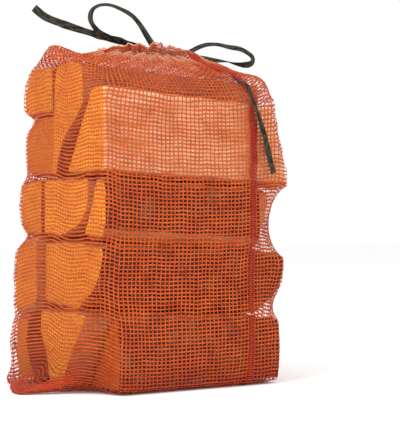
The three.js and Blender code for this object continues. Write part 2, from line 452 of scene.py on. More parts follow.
@dataclass(frozen=True)
class LogFinish:
    """Raw split wood with sawn ends and bark.

    The mesh gives three attributes: grain, the place along the log and sideways and up from its
    pith; skin, the place along the log and round it, with a number of the log's own; and marks,
    how far the surface is bark and sawn end, and how dark the log is there: darker wood on some logs,
    and painted shade on faces that look into the stack and on logs deep in it. A scale is the number
    of noise cells to a metre in each of an attribute's three directions.
    """

    pale: Colour = (0.97, 0.70, 0.43)
    tan: Colour = (0.76, 0.42, 0.18)
    fibre: Colour = (0.36, 0.18, 0.07)
    early_ring: Colour = (1.0, 0.46, 0.045)
    late_ring: Colour = (0.66, 0.25, 0.020)
    bark: Colour = (0.085, 0.016, 0.011)
    bark_ridge: Colour = (0.160, 0.045, 0.028)
    lichen: Colour = (0.150, 0.115, 0.070)
    # multiplied in for darker wood on some logs, and for painted shade on faces that look into the stack and
    # on logs deep in it
    heart: Colour = (0.42, 0.17, 0.11)
    ring_pitch: float = 3.1 * MM
    ring_waver: float = 4 * MM
    relief: float = 0.7 * MM
    streak_scale: Scale = (9, 330, 1)
    thread_scale: Scale = (26, 1500, 1)
    cloud_scale: Scale = (16, 40, 1)
    waver_scale: Scale = (4, 60, 60)
    saw_scale: Scale = (0, 900, 120)
    crack_scale: Scale = (0, 70, 35)
    plate_scale: Scale = (45, 170, 1)
    lichen_scale: Scale = (30, 30, 1)

    def material(self) -> bpy.types.Material:
        """Builds the finish.

        Returns:
            A material in which streaks follow the grain, rings circle the pith on sawn ends, bark is
            plated and patched with lichen, and the heart colour darkens the wood: darker wood on some logs,
            and painted shade on faces that look into the stack and on logs deep in it.
        """
        shader = Shader("split_log")
        grain, _, across, up = shader.attribute("grain")
        skin, _, _, _ = shader.attribute("skin")
        _, bark_mask, end_mask, tone_and_shade = shader.attribute("marks")
        streak = shader.noise(shader.stretched(skin, self.streak_scale), detail=5, rough=0.62)
        thread = shader.noise(shader.stretched(skin, self.thread_scale), detail=3)
        cloud = shader.noise(shader.stretched(skin, self.cloud_scale), detail=2)
        stops = [(0.30, self.fibre), (0.42, self.tan), (0.56, self.pale), (0.8, self.pale)]
        face = shader.ramp(streak * 0.7 + cloud * 0.3, stops)
        face = shader.mix(thread.band(0.62, 0.74) * 0.55, face, self.tan)
        distance = (across * across + up * up) ** 0.5
        waver = shader.noise(shader.stretched(grain, self.waver_scale), detail=2)
        ring = ((distance + waver * self.ring_waver) * (2 * math.pi / self.ring_pitch)).sine() * 0.5 + 0.5
        sawn = shader.mix(ring.band(0.45, 0.95) * 0.8, self.early_ring, self.late_ring)
        marks = shader.noise(shader.stretched(grain, self.saw_scale), detail=2)
        sawn = shader.mix(marks.band(0.5, 0.75) * 0.35, sawn, self.late_ring)
        cracks = shader.noise(shader.stretched(grain, self.crack_scale), detail=5, rough=0.7)
        sawn = shader.mix(cracks.band(0.62, 0.68) * 0.5, sawn, self.fibre)
        plates = shader.noise(shader.stretched(skin, self.plate_scale), detail=5, rough=0.65)
        rind = shader.mix(plates.band(0.42, 0.68), self.bark, self.bark_ridge)
        patches = shader.noise(shader.stretched(skin, self.lichen_scale), detail=4)
        rind = shader.mix(patches.band(0.56, 0.66) * 0.75, rind, self.lichen)
        colour = shader.mix(end_mask.band(0.4, 0.6), face, sawn)
        # darker wood on some logs, and painted shade on faces that look into the stack and on logs deep in it
        colour = shader.mix(tone_and_shade * 0.75, colour, self.heart, "MULTIPLY")
        colour = shader.mix(bark_mask.band(0.35, 0.65), colour, rind)
        relief = streak * 0.6 + thread * 0.4
        normal = shader.bump(relief + bark_mask * plates * 2.0, self.relief, 0.8)
        return shader.finish(
            Base_Color=colour, Roughness=0.72 + bark_mask * 0.18, Normal=normal, Specular_IOR_Level=0.3
        )


@dataclass(frozen=True)
class NetFinish:
    """Slightly see-through orange plastic tape, woven as a net.

    The mesh gives one attribute, thread: the place along a thread, the thread's own number, and how
    much redder it looks there, or below 0 how much painted sheen it carries.
    """

    name: str = "net"
    orange: Colour = (0.58, 0.080, 0.010)
    red: Colour = (0.36, 0.016, 0.006)
    light: Colour = (0.70, 0.15, 0.024)
    # painted sheen of the ruffle's threads seen edge on, mixed in where depth is below 0
    faded: Colour = (1.0, 0.56, 0.38)
    alpha: float = 0.81
    relief: float = 0.15 * MM
    own_scale: Scale = (30, 3.7, 0)
    fibril_scale: Scale = (2500, 90, 0)
    place_scale: float = 38

    def material(self) -> bpy.types.Material:
        """Builds the finish.

        Returns:
            A material whose dye varies from thread to thread and along each one, and which is
            redder where a thread's depth is above 0 and paler, by a painted sheen, where it is below.
        """
        shader = Shader(self.name)
        thread, _, _, depth = shader.attribute("thread")
        own = shader.noise(shader.stretched(thread, self.own_scale), detail=2)
        place = shader.noise(shader.object_place(), scale=self.place_scale, detail=2)
        colour = shader.mix(own.band(0.35, 0.75) * 0.5, self.orange, self.light)
        colour = shader.mix(place.band(0.45, 0.75) * 0.45, colour, self.red)
        colour = shader.mix(depth, colour, self.red)
        # painted sheen: paler where depth is below 0
        colour = shader.mix(0.0 - depth, colour, self.faded)
        fibrils = shader.noise(shader.stretched(thread, self.fibril_scale), detail=2)
        return shader.finish(
            Base_Color=colour,
            Roughness=0.38 + own * 0.2,
            Alpha=self.alpha,
            Normal=shader.bump(fibrils, self.relief, 0.6),
            Specular_IOR_Level=0.25,
        )


@dataclass(frozen=True)
class TapeFinish:
    """Dark olive flat tape, woven in a fine twill; its rib tops are lighter, partly the yarn's flecks and
    partly painted highlight, and patches of painted shade stand for folds.

    The mesh gives one attribute, weave: the place along the tape and across it.
    """

    # the tape's own dark, also painted shade between the ribs and in folds
    dark_and_shade: Colour = (0.004, 0.004, 0.003)
    light: Colour = (0.125, 0.112, 0.078)
    pitch: float = 1.3 * MM
    relief: float = 0.3 * MM
    fuzz_scale: Scale = (900, 900, 1)
    # scale of the painted fold shade
    fold_shade_scale: Scale = (110, 330, 1)

    def material(self) -> bpy.types.Material:
        """Builds the finish.

        Returns:
            A material with two crossing sets of slanted ribs, lighter on top partly as painted highlight, and
            patches of painted shade for folds.
        """
        shader = Shader("tape")
        weave, along, across, _ = shader.attribute("weave")
        turn = 2 * math.pi / self.pitch
        rib = ((along + across) * turn).sine() * ((along - across) * turn).sine() * 0.5 + 0.5
        fuzz = shader.noise(shader.stretched(weave, self.fuzz_scale), detail=3)
        height = rib * 0.7 + fuzz * 0.3
        # rib tops lighter: partly the yarn's own flecks, partly painted highlight; the dark between them is
        # the tape's colour and painted shade
        colour = shader.mix(height.band(0.38, 0.72), self.dark_and_shade, self.light)
        # patches of painted shade that stand for folds
        fold_shade = shader.noise(shader.stretched(weave, self.fold_shade_scale), detail=2)
        colour = shader.mix(fold_shade.band(0.42, 0.60) * 0.85, colour, self.dark_and_shade)
        return shader.finish(
            Base_Color=colour,
            Roughness=0.7 + fuzz * 0.15,
            Normal=shader.bump(height, self.relief),
            Specular_IOR_Level=0.12,
        )


def floor_material() -> bpy.types.Material:
    """Plain pale matt floor."""
    return Shader("floor").finish(Base_Color=(0.965, 0.965, 0.965, 1.0), Roughness=0.9)


# ---- split logs ------------------------------------------------------------------------------


@dataclass(frozen=True)
class SplitLog:
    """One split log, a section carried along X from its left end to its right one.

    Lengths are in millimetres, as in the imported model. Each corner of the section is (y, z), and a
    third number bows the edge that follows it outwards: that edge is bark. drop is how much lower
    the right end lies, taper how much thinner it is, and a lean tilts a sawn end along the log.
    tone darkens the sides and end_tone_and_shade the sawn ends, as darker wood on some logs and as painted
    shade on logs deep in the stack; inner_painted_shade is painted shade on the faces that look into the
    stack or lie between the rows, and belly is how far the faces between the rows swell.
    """

    name: str
    section: tuple[tuple[float, ...], ...]
    left: float = -125.0
    right: float = 126.0
    drop: float = STACK_DROP / MM
    taper: float = 0.0
    lean_left: float = 0.0
    lean_right: float = 0.0
    pith: tuple[float, float] | None = None
    # how dark the sides and sawn ends are: darker wood on some logs, painted shade on logs deep in the stack;
    # the inner value is painted shade on faces that look into it
    tone_and_shade: float = 0.0
    end_tone_and_shade: float = 0.0
    inner_painted_shade: float = 1.3
    belly: float = 5.5

    AROUND: ClassVar[float] = 2.0  # between the mesh's points round the log
    ALONG: ClassVar[float] = 4.5  # and along it
    HULL_STEPS: ClassVar[int] = 6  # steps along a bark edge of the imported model
    SMOOTHINGS: ClassVar[int] = 4  # rounds that soften the section's corners
    CAP_RINGS: ClassVar[int] = 9  # rings on a sawn end
    CAP_HUB: ClassVar[float] = 0.35  # size of the last one, in steps between rings
    LYING: ClassVar[float] = 0.6  # least slope at which a face counts as an upper or a lower one
    GAPS_FROM: ClassVar[float] = 20.0  # height of the lowest face between two rows
    GAPS_TO: ClassVar[float] = 345.0  # and of the highest
    BELLY_ENDS: ClassVar[float] = 0.12  # how steeply the belly falls towards the sawn ends
    BELLY_EDGES: ClassVar[float] = 0.25  # and towards the face's edges
    OUTER_FACE: ClassVar[float] = 96.0  # a face farther out than this shows from outside
    SAW_HEIGHT: ClassVar[float] = 0.12  # of the saw's marks
    SAW_CELL: ClassVar[tuple[float, float]] = (2.2, 30.0)  # width and height of one
    WIDEST_RING: ClassVar[float] = 90.0  # radius of the outermost year ring, at most

    @property
    def seed(self) -> float:
        """A number of the log's own, from its name."""
        return float(sum(ord(letter) * (place + 3) for place, letter in enumerate(self.name)) % 97)

    def outline(self, spacing: float | None) -> tuple[Array, Array, Array]:
        """The section's outline, with every bark edge rounded.

        A point between two corners moves out from the chord by the bow times 4 t (1 - t).

        Args:
            spacing: distance between points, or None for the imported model's own points.

        Returns:
            The points, n by 2, for each whether it is bark, and 4 t (1 - t) along its own edge.
        """
        points, bark, middle = [], [], []
        for here, there in zip(self.section, self.section[1:] + self.section[:1]):
            bow = here[2] if len(here) > 2 else 0.0
            start, chord = np.array(here[:2]), np.array(there[:2]) - np.array(here[:2])
            size = float(np.hypot(*chord))
            steps = (self.HULL_STEPS if bow else 1) if spacing is None else max(2, round(size / spacing))
            share = np.arange(steps)[:, None] / steps
            outward = np.array([chord[1], -chord[0]]) / size
            points.append(start + chord * share + outward * bow * 4 * share * (1 - share))
            bark.append(np.full(steps, bow > 0))
            middle.append((4 * share * (1 - share))[:, 0])
        return np.vstack(points), np.concatenate(bark), np.concatenate(middle)

    def frame_numbers(self) -> tuple[float, float, float]:
        """Middle y, bottom z and middle z of the section."""
        corners = np.array([corner[:2] for corner in self.section])
        low, high = corners.min(axis=0), corners.max(axis=0)
        return (low[0] + high[0]) / 2, low[1], (low[1] + high[1]) / 2

    def place(self, along: Array, y: Array, z: Array) -> Array:
        """Places points on the log, thinned, leaned and dropped as it runs.

        Args:
            along: part of the length, from 0 at the left end to 1.
            y: place in the section.
            z: height in the section.

        Returns:
            Places in metres.
        """
        middle_y, bottom_z, middle_z = self.frame_numbers()
        scale = 1 + self.taper * along
        lean = (self.lean_left + (self.lean_right - self.lean_left) * along) * (z - middle_z)
        x = self.left + (self.right - self.left) * along + lean
        placed_y = middle_y + (y - middle_y) * scale
        placed_z = bottom_z + (z - bottom_z) * scale - self.drop * along
        return np.stack([x * MM + MIDDLE_X, placed_y * MM, placed_z * MM], axis=-1)

    def heart(self) -> Array:
        """The pith's place in the section: where the widest bark arc has its centre, or as given."""
        if self.pith is not None:
            return np.array(self.pith)
        best = None
        for here, there in zip(self.section, self.section[1:] + self.section[:1]):
            if len(here) > 2 and (best is None or here[2] > best[2]):
                best = (np.array(here[:2]), np.array(there[:2]), here[2])
        start, end, bow = best
        chord = end - start
        size = float(np.hypot(*chord))
        radius = size * size / (8 * bow) + bow / 2
        inward = np.array([-chord[1], chord[0]]) / size
        return (start + end) / 2 + inward * (min(radius, self.WIDEST_RING) - bow)

    def relief(self, x: Array, around: Array, bark: Array) -> Array:
        """How far the surface stands out, in millimetres.

        Split faces carry broad waves and fine long ridges; bark carries ridged plates.

        Args:
            x: place along the log, in millimetres.
            around: place round the section.
            bark: 1 on bark and 0 on split faces.

        Returns:
            The height at each point.
        """
        flat = np.zeros_like(x)

        def wave(length: float, width: float, seed: float) -> Array:
            """Noise whose cells have that length and width."""
            return value_noise(np.stack([x / length, around / width, flat], axis=-1), self.seed + seed)

        split = 0.8 * wave(90, 26, 0) + 0.45 * wave(150, 5, 1) + 0.3 * wave(70, 2.4, 2)
        plates = 0.9 - np.abs(wave(22, 7, 3)) * 1.6 + 0.5 * wave(9, 4, 4)
        return np.where(bark > 0.5, plates, split - 0.5)

    def side(
        self, outline: Array, outward: Array, around: Array, bark: Array, middle: Array, along: Array
    ) -> tuple[Array, Array]:
        """The side's places in the section, and which of its faces get painted shade: those that look into
        the stack or lie between two rows.

        The outline is pushed out by the relief. A face between two rows of logs also swells by the
        belly, times a power of the sine along the log and a power of the place along its edge.

        Args:
            outline: the softened section, n by 2.
            outward: directions out of it.
            around: distance round it.
            bark: 1 on bark.
            middle: 1 half way along an edge and 0 at its corners.
            along: part of the length of every point, rows by n.

        Returns:
            Places in the section, rows by n by 2, and 1 for each of the outline's points that
            looks into the stack or lies between two rows, where painted shade goes.
        """
        rows, columns = along.shape
        x = self.left + (self.right - self.left) * along
        height = self.relief(x.ravel(), np.tile(around, rows), np.tile(bark, rows)).reshape(rows, columns)
        z = outline[:, 1]
        between_rows = (np.abs(outward[:, 1]) > self.LYING) & (z > self.GAPS_FROM) & (z < self.GAPS_TO)
        swell = self.belly * np.abs(np.sin(math.pi * along)) ** self.BELLY_ENDS
        height += swell * between_rows * middle**self.BELLY_EDGES
        # faces that look into the stack, and those between rows, get painted shade
        looks_inward = -np.sign(outline[:, 0]) * outward[:, 0] > 0.5
        looks_inward &= np.abs(outline[:, 0]) < self.OUTER_FACE
        return outline + outward * height[..., None], (between_rows | looks_inward).astype(float)

    def sawn_end(self, rim: Array, centre: Array, end: float) -> Array:
        """A sawn end's rings, which shrink from the side's rim towards the section's middle.

        Args:
            rim: the side's last row, in the section.
            centre: the section's middle.
            end: 0 for the left end and 1 for the right one.

        Returns:
            The rings' places, with the saw's marks.
        """
        shrink = (1 - (np.arange(1, self.CAP_RINGS + 1) / (self.CAP_RINGS + self.CAP_HUB)))[:, None, None]
        ring = centre + (rim - centre) * shrink
        cap = self.place(np.full(ring.shape[:2], end), ring[..., 0], ring[..., 1])
        wide, high = self.SAW_CELL
        cells = np.stack([ring[..., 0] / wide, ring[..., 1] / high, np.zeros(ring.shape[:2])], axis=-1)
        saw = value_noise(cells.reshape(-1, 3), self.seed).reshape(ring.shape[:2])
        cap[..., 0] += self.SAW_HEIGHT * MM * saw
        return cap

    def faces(self, points: Array, rows: int, columns: int) -> Array:
        """The side's faces, then each end's: a bridge to its first ring, the rings, and a fan.

        Args:
            points: the side's places, then the rings of the left and of the right end.
            rows: rows of points along the side.
            columns: points in a row.

        Returns:
            Four point numbers for each face, all looking outwards.
        """
        side = grid_faces(rows, columns, closed=True)
        faces = [side]
        for end, row in ((0, 0), (1, rows - 1)):
            start = (rows + end * self.CAP_RINGS) * columns
            rim = row * columns + np.arange(columns)
            first = start + np.arange(columns)
            bridge = np.stack([rim, np.roll(rim, -1), np.roll(first, -1), first], axis=1)
            rings = grid_faces(self.CAP_RINGS, columns, closed=True, start=start)
            last = start + (self.CAP_RINGS - 1) * columns + np.arange(columns)
            hub = np.full(columns - 2, last[0])
            fan = np.stack([last[1:-1], last[2:], hub, hub], axis=1)
            around = np.vstack([bridge, rings])
            if end == 0:
                around, fan = around[:, [1, 0, 3, 2]], fan[:, [1, 0, 2, 3]]
            faces += [around, fan]
        quads = np.vstack(faces)
        first, beside, above = (points[side[:, corner]] for corner in (0, 1, 3))
        if np.sum(np.cross(beside - first, above - first) * (first - points.mean(axis=0))) < 0:
            triangles = (quads[:, 3] == quads[:, 2])[:, None]
            quads = np.where(triangles, quads[:, [1, 0, 2, 3]], quads[:, [3, 2, 1, 0]])
        return quads

    def attributes(
        self, points: Array, quads: Array, around: Array, bark: Array, inner: Array, rows: int
    ) -> dict[str, Array]:
        """The three attributes that the finish reads.

        Args:
            points: the log's places, those of its side first.
            quads: its faces, those of its side first.
            around: distance round the outline.
            bark: 1 where the outline is bark.
            inner: 1 where it looks into the stack or lies between rows, for painted shade.
            rows: rows of points along the side.

        Returns:
            Three numbers for every corner of every face, by the attribute's name.
        """
        side = rows * len(around)
        heart = self.heart()
        share = np.clip((points[:, 0] - MIDDLE_X - self.left * MM) / ((self.right - self.left) * MM), 0, 1)
        pith_y = np.full(len(points), heart[0] * MM)
        pith_z = heart[1] * MM - self.drop * MM * share
        grain = points - np.stack([np.zeros(len(points)), pith_y, pith_z], axis=1)
        skin = np.zeros_like(points)
        skin[:, 0] = points[:, 0]
        skin[:side, 1] = np.tile(around, rows) * MM
        skin[:, 2] = self.seed
        marks = np.zeros_like(points)
        marks[:side, 0] = np.tile(bark, rows)
        # third number: how dark the log is, with painted shade on faces that look into the stack
        marks[:, 2] = self.tone_and_shade
        marks[:side, 2] += np.tile(inner, rows) * self.inner_painted_shade
        corner_marks = marks[quads]
        corner_marks[side - len(around) :] = (0.0, 1.0, self.end_tone_and_shade)
        return {"grain": grain[quads], "skin": skin[quads], "marks": corner_marks}

    def build(self, material: bpy.types.Material) -> bpy.types.Object:
        """Builds the log: its side, carried along X, and two sawn ends.

        Args:
            material: the logs' finish.

        Returns:
            The finished piece.
        """
        outline, bark, middle = self.outline(self.AROUND)
        for _ in range(self.SMOOTHINGS):
            outline = (np.roll(outline, 1, 0) + 2 * outline + np.roll(outline, -1, 0)) / 4
        tangent = unit(np.roll(outline, -1, 0) - np.roll(outline, 1, 0))
        outward = np.stack([tangent[:, 1], -tangent[:, 0]], axis=1)
        around = np.concatenate([[0], np.cumsum(np.linalg.norm(np.diff(outline, axis=0), axis=1))])
        rows, columns = round((self.right - self.left) / self.ALONG) + 1, len(outline)
        along = np.linspace(0, 1, rows)[:, None] * np.ones(columns)
        side, inner = self.side(outline, outward, around, bark, middle, along)
        parts = [self.place(along, side[..., 0], side[..., 1])]
        parts += [self.sawn_end(side[row], outline.mean(axis=0), end) for end, row in ((0.0, 0), (1.0, -1))]
        points = np.vstack([part.reshape(-1, 3) for part in parts])
        quads = self.faces(points, rows, columns)
        values = self.attributes(points, quads, around, bark, inner, rows)
        return make_piece(
            self.name + "_wood", points, quads, material, [self.name], values, sharp_angle=50
        )


# The darkness values below are darker wood on most logs, and painted shade on the top middle log, deep in the
# stack, and on the ends of the top back lower and bottom corner logs.
LOGS = (
    SplitLog(
        "log_top_front", ((-103, 258), (-12, 258), (-45, 310), (-64, 338), (-70, 352), (-102, 355)),
        right=121, lean_right=-0.26, pith=(-20, 215), end_tone_and_shade=0.1,
    ),
    SplitLog(
        "log_top_middle",
        ((19, 256), (26, 256), (24, 300), (22, 366), (15, 387), (-22, 389), (-49, 384), (-52, 341),
         (-37, 323), (-17, 310), (-1, 296), (8, 280)),
        pith=(70, 330), tone_and_shade=1.15, end_tone_and_shade=0.3,
    ),
    SplitLog(
        "log_top_back_upper", ((28, 333), (100, 333, 4), (99, 368), (90, 382, 2), (72, 389), (30, 387)),
        left=-124, tone_and_shade=0.5, end_tone_and_shade=0.45,
    ),
    SplitLog(
        "log_top_back_lower", ((30, 257), (99, 260, 4), (104, 306), (86, 326), (30, 328)),
        left=-121, tone_and_shade=0.9, end_tone_and_shade=0.85,
    ),
    SplitLog(
        "log_second_front", ((-96, 181), (-55, 184), (-72, 216), (-84, 248), (-102, 247, 3), (-103, 191)),
        right=90, tone_and_shade=0.9,
    ),
    SplitLog(
        "log_second_middle",
        ((-8, 184), (43, 185), (43, 249), (-71, 249), (-70, 228), (-64, 212), (-48, 196)),
        left=-128, pith=(10, 290), tone_and_shade=0.6, end_tone_and_shade=0.1,
    ),
    SplitLog(
        "log_second_back", ((47, 184), (92, 184, 7), (99, 246), (47, 249)),
        left=-130, right=118, tone_and_shade=0.4, end_tone_and_shade=0.5,
    ),
    SplitLog(
        "log_third_front", ((-42, 97), (42, 102), (42, 172), (-20, 176), (-101, 171, 11), (-66, 113)),
        left=-127, right=130, taper=-0.03, tone_and_shade=0.6, end_tone_and_shade=0.3,
    ),
    SplitLog(
        "log_third_back", ((46, 102), (101, 86, 4), (102, 160), (84, 172), (46, 176)),
        left=-137, right=112, tone_and_shade=0.6, end_tone_and_shade=0.5, inner_painted_shade=0.35, belly=9.0,
    ),
    SplitLog(
        "log_bottom_front",
        ((-30, 4), (-5, 4), (10, 36), (32, 66), (35, 90), (-22, 93), (-80, 92), (-48, 40)),
        left=-140, right=118, taper=-0.16, drop=0.0, lean_left=0.08, pith=(-10, 130),
        tone_and_shade=1.05, end_tone_and_shade=0.25,
    ),
    SplitLog(
        "log_bottom_corner", ((-101, 5), (-40, 5), (-58, 40), (-88, 86), (-101, 87, 3)),
        left=-106, right=122, taper=-0.1, drop=0.0, tone_and_shade=0.8, end_tone_and_shade=1.2,
    ),
    SplitLog(
        "log_bottom_back", ((56, 6), (98, 5, 4), (101, 78), (70, 78), (78, 50)),
        left=-136, right=122, taper=-0.16, drop=0.0, tone_and_shade=0.7, end_tone_and_shade=0.8, belly=11.0,
    ),
)


# ---- net bag ---------------------------------------------------------------------------------


@dataclass
class NetBag:
    """The net bag: a tube of woven net, sewn flat under the logs and gathered above them.

    The net is a grid of crossings, one row for each weft that runs round the bag and one column for
    each warp that runs up it. The grid is stretched over the logs and relaxed until it lies on them,
    then every row and column becomes a thread.
    """

    warps: int = 164
    bottom_rows: int = 18
    side_rows: int = 85
    top_rows: int = 21
    ruffle_rows: int = 5
    clearance: float = 3.2 * MM  # from the logs to the middle of the net
    bridge: float = 21 * MM
    side_top: float = 392 * MM
    start_offset: float = 4.0 * MM
    neck: tuple[float, float] = (75 * MM, 18 * MM)
    neck_height: float = 405 * MM
    rim: tuple[float, float] = (92 * MM, 27 * MM)
    rim_height: float = 419 * MM
    mouth_x: float = 5 * MM + MIDDLE_X
    droop_from: float = 20 * MM + MIDDLE_X
    pleats: int = 21
    hoop_pull: float = 1.0
    rise_pull: float = 1.1
    rounds: int = 240
    quick_rounds: int = 60
    floor_gap: float = 0.9 * MM  # from the floor to the middle of the net
    seam_x: float = 76 * MM + MIDDLE_X
    weft_width: float = 1.95 * MM
    warp_width: float = 1.75 * MM
    thickness: float = 0.55 * MM
    weave: float = 0.35 * MM
    flat: tuple[float, float] = (0.95, 0.62)
    thread_area: float = 0.25
    tail_hidden: float = 0.455  # part of the right tail that lies under the ruffle
    tail_room: float = 3.0 * MM
    tail_cover: float = 9 * MM  # how far to either side of the tail the net follows it
    tail_reach: float = 16 * MM  # a net farther from the tail than this stays where it is
    droop: float = 0.3  # how much lower the neck lies for each metre towards the right
    rim_droop: float = 0.36
    rim_short: float = 0.15  # how much the ruffle's left part is drawn in
    rim_left_droop: float = 0.16
    rim_left_from: float = 45 * MM
    pleat_height: float = 3.2 * MM
    round_waver: tuple[float, float] = (1.2 * MM, 0.75 * MM)  # broad and fine, round the bag
    rise_waver: tuple[float, float] = (1.3 * MM, 0.6 * MM)  # the same up the bag
    lift_waver: float = 0.5 * MM
    frill: tuple[float, float, float] = (2.4 * MM, 1.2 * MM, 1.5 * MM)
    width_spread: float = 0.32  # how much the threads differ in width
    thread_step: int = 5  # millimetres of thread from one crossing to the next, for its dye
    dye_step: float = 1.37  # from one thread's own number to the next
    grid: Array = field(init=False, repr=False)
    normals: Array = field(init=False, repr=False)

    FOOT_ROWS: ClassVar[tuple[int, int]] = (9, 7)  # redder threads' last row above the bottom, and its fade
    FOOT_DEPTH: ClassVar[float] = 0.55
    SHEEN_ROWS: ClassVar[tuple[int, int]] = (12, 14)  # painted sheen's first row below the neck, and its fade
    SPREAD_ROWS: ClassVar[tuple[int, int]] = (4, 5)  # wider threads' first row below the side's top
    SPREAD_GAIN: ClassVar[float] = 0.25
    THIN_ROWS: ClassVar[tuple[int, int]] = (14, 12)  # thinner threads' first row below the neck
    THIN_LOSS: ClassVar[float] = 0.6
    END_LOSS: ClassVar[float] = 0.55  # how much thinner the warps look over the sawn ends
    SEAM_ROW: ClassVar[int] = 49  # the side's row in which the seam's column is looked up
    SEAM_HALF: ClassVar[float] = 0.85  # half the seam's width, in columns
    SEAM_THREADS: ClassVar[int] = 5
    SEAM_LIFT: ClassVar[float] = 1.1 * MM
    SEAM_SWAY: ClassVar[float] = 0.8 * MM
    SEAM_RED: ClassVar[tuple[float, float]] = (0.20, 0.08)  # height where it reddens, and how softly
    SEAM_FADED: ClassVar[tuple[float, float]] = (0.365, 0.02)  # height where it fades again
    SEAM_WIDTH: ClassVar[tuple[float, float]] = (1.3, 1.0)  # millimetres below, and added above
    HEM_ROWS: ClassVar[float] = 3.5
    HEM_THREADS: ClassVar[int] = 8
    HEM_LIFT: ClassVar[float] = 1.0 * MM
    HEM_WIDTH: ClassVar[float] = 0.9 * MM
    HEM_DEPTH: ClassVar[float] = 0.2
    POOL_FROM: ClassVar[float] = -143.0  # where the taut net's left side lies
    POOL_BLEND: ClassVar[tuple[float, float]] = (-116.0, 24.0)  # where the pool starts, and how softly
    POOL_RISE: ClassVar[float] = 17.0  # how quickly it fades upwards
    POOL_Y = (-104, -90, -78, -48, -22, 16, 56, 98, 110)
    POOL_X = (-147, -160, -171, -189, -195, -189, -176, -157, -150)
    BULGES = (
        ((-122, 30, 392), (24, 27, 26), (-3, 0, 22)),
        ((104, -66, 355), (34, 40, 28), (7, -6, 15)),
        ((40, -84, 362), (70, 26, 22), (0, -4, 7)),
        ((-90, -90, 366), (40, 26, 20), (-1, -2, 4)),
        ((-124, 100, 325), (24, 26, 9), (6, -9, 0)),
        ((-134, 98, 181), (24, 30, 10), (5, -6, 0)),
        ((-138, 95, 45), (26, 45, 32), (-7, 2, 0)),
    )

    @property
    def neck_row(self) -> int:
        """Number of the row that the drawstring gathers."""
        return self.bottom_rows + self.side_rows + self.top_rows - 1

    def contact_points(self) -> Array:
        """Points on both ends of every log, which the taut net first touches."""
        found = []
        for log in LOGS:
            outline = log.outline(6.0)[0]
            for end in (0.0, 1.0):
                found.append(log.place(np.full(len(outline), end), outline[:, 0], outline[:, 1]))
        return np.vstack(found)

    def outline_at(self, points: Array, height: float, offset: float, directions: int = 72) -> Array:
        """The taut outline round the logs near one height.

        In each direction the outline touches the line square to it at the logs' farthest reach, so
        neighbouring lines meet in the outline's corners.

        Args:
            points: places on the logs.
            height: height of the outline.
            offset: distance kept from the logs.
            directions: number of lines.

        Returns:
            Points of the outline from the front's middle round to the right, evenly spaced.
        """
        near = points[np.abs(points[:, 2] - height) <= self.bridge, :2]
        turn = 2 * math.pi / directions
        angle = np.arange(directions) * turn
        ray = np.stack([np.cos(angle), np.sin(angle)], axis=1)
        reach = (near @ ray.T).max(axis=0) + offset
        slide = (np.roll(reach, -1) - reach * math.cos(turn)) / math.sin(turn)
        corners = reach[:, None] * ray + slide[:, None] * np.stack([-ray[:, 1], ray[:, 0]], axis=1)
        return self.even_ring(corners)

    def even_ring(self, corners: Array) -> Array:
        """Spaces a closed outline's points evenly, from where it crosses the front's middle.

        Args:
            corners: the outline, n by 2.

        Returns:
            One point for each warp.
        """
        closed = np.vstack([corners, corners[:1]])
        length = np.concatenate([[0], np.cumsum(np.linalg.norm(np.diff(closed, axis=0), axis=1))])
        fine = np.linspace(0, length[-1], 2048, endpoint=False)
        x, y = (np.interp(fine, length, closed[:, axis]) for axis in (0, 1))
        start = fine[np.argmin(np.abs(x - MIDDLE_X) + np.where(y > 0, 1.0, 0.0))]
        wanted = (start + np.linspace(0, length[-1], self.warps, endpoint=False)) % length[-1]
        return np.stack([np.interp(wanted, length, closed[:, axis]) for axis in (0, 1)], axis=1)

    def ellipse(self, size: tuple[float, float]) -> Array:
        """An ellipse round the mouth, as evenly spaced points."""
        angle = np.linspace(0, 2 * math.pi, 240, endpoint=False)
        x, y = self.mouth_x + size[0] * np.cos(angle), size[1] * np.sin(angle)
        return self.even_ring(np.stack([x, y], axis=1))

    def first_shape(self) -> Array:
        """The grid before it is relaxed, rows by warps by 3."""
        points = self.contact_points()
        foot = self.outline_at(points, 0.0, self.start_offset)
        rows = []
        for share in np.linspace(1, 0, self.bottom_rows, endpoint=False):
            seam = foot * (1 - 0.04 * share, 1 - share)
            rows.append(np.column_stack([seam, np.full(self.warps, self.floor_gap)]))
        for height in np.linspace(3 * MM, self.side_top, self.side_rows):
            ring = self.outline_at(points, height, self.start_offset)
            rows.append(np.column_stack([ring, np.full(self.warps, height)]))
        top = rows[-1]
        neck = self.ellipse(self.neck)
        neck_z = self.neck_height - self.droop * np.maximum(neck[:, 0] - self.droop_from, 0)
        gathered = np.column_stack([neck, neck_z])
        rows += [top + (gathered - top) * share for share in np.linspace(0, 1, self.top_rows + 1)[1:]]
        rim = self.ellipse(self.rim)
        past_left = np.maximum(self.mouth_x - rim[:, 0], 0)
        rim[:, 0] += self.rim_short * past_left
        rim_z = self.rim_height - self.rim_droop * np.maximum(rim[:, 0] - self.droop_from, 0)
        rim_z -= self.rim_left_droop * np.maximum(past_left - self.rim_left_from, 0)
        edge = np.column_stack([rim, rim_z])
        shares = np.linspace(0, 1, self.ruffle_rows + 1)[1:]
        rows += [gathered + (edge - gathered) * share for share in shares]
        return np.array(rows)

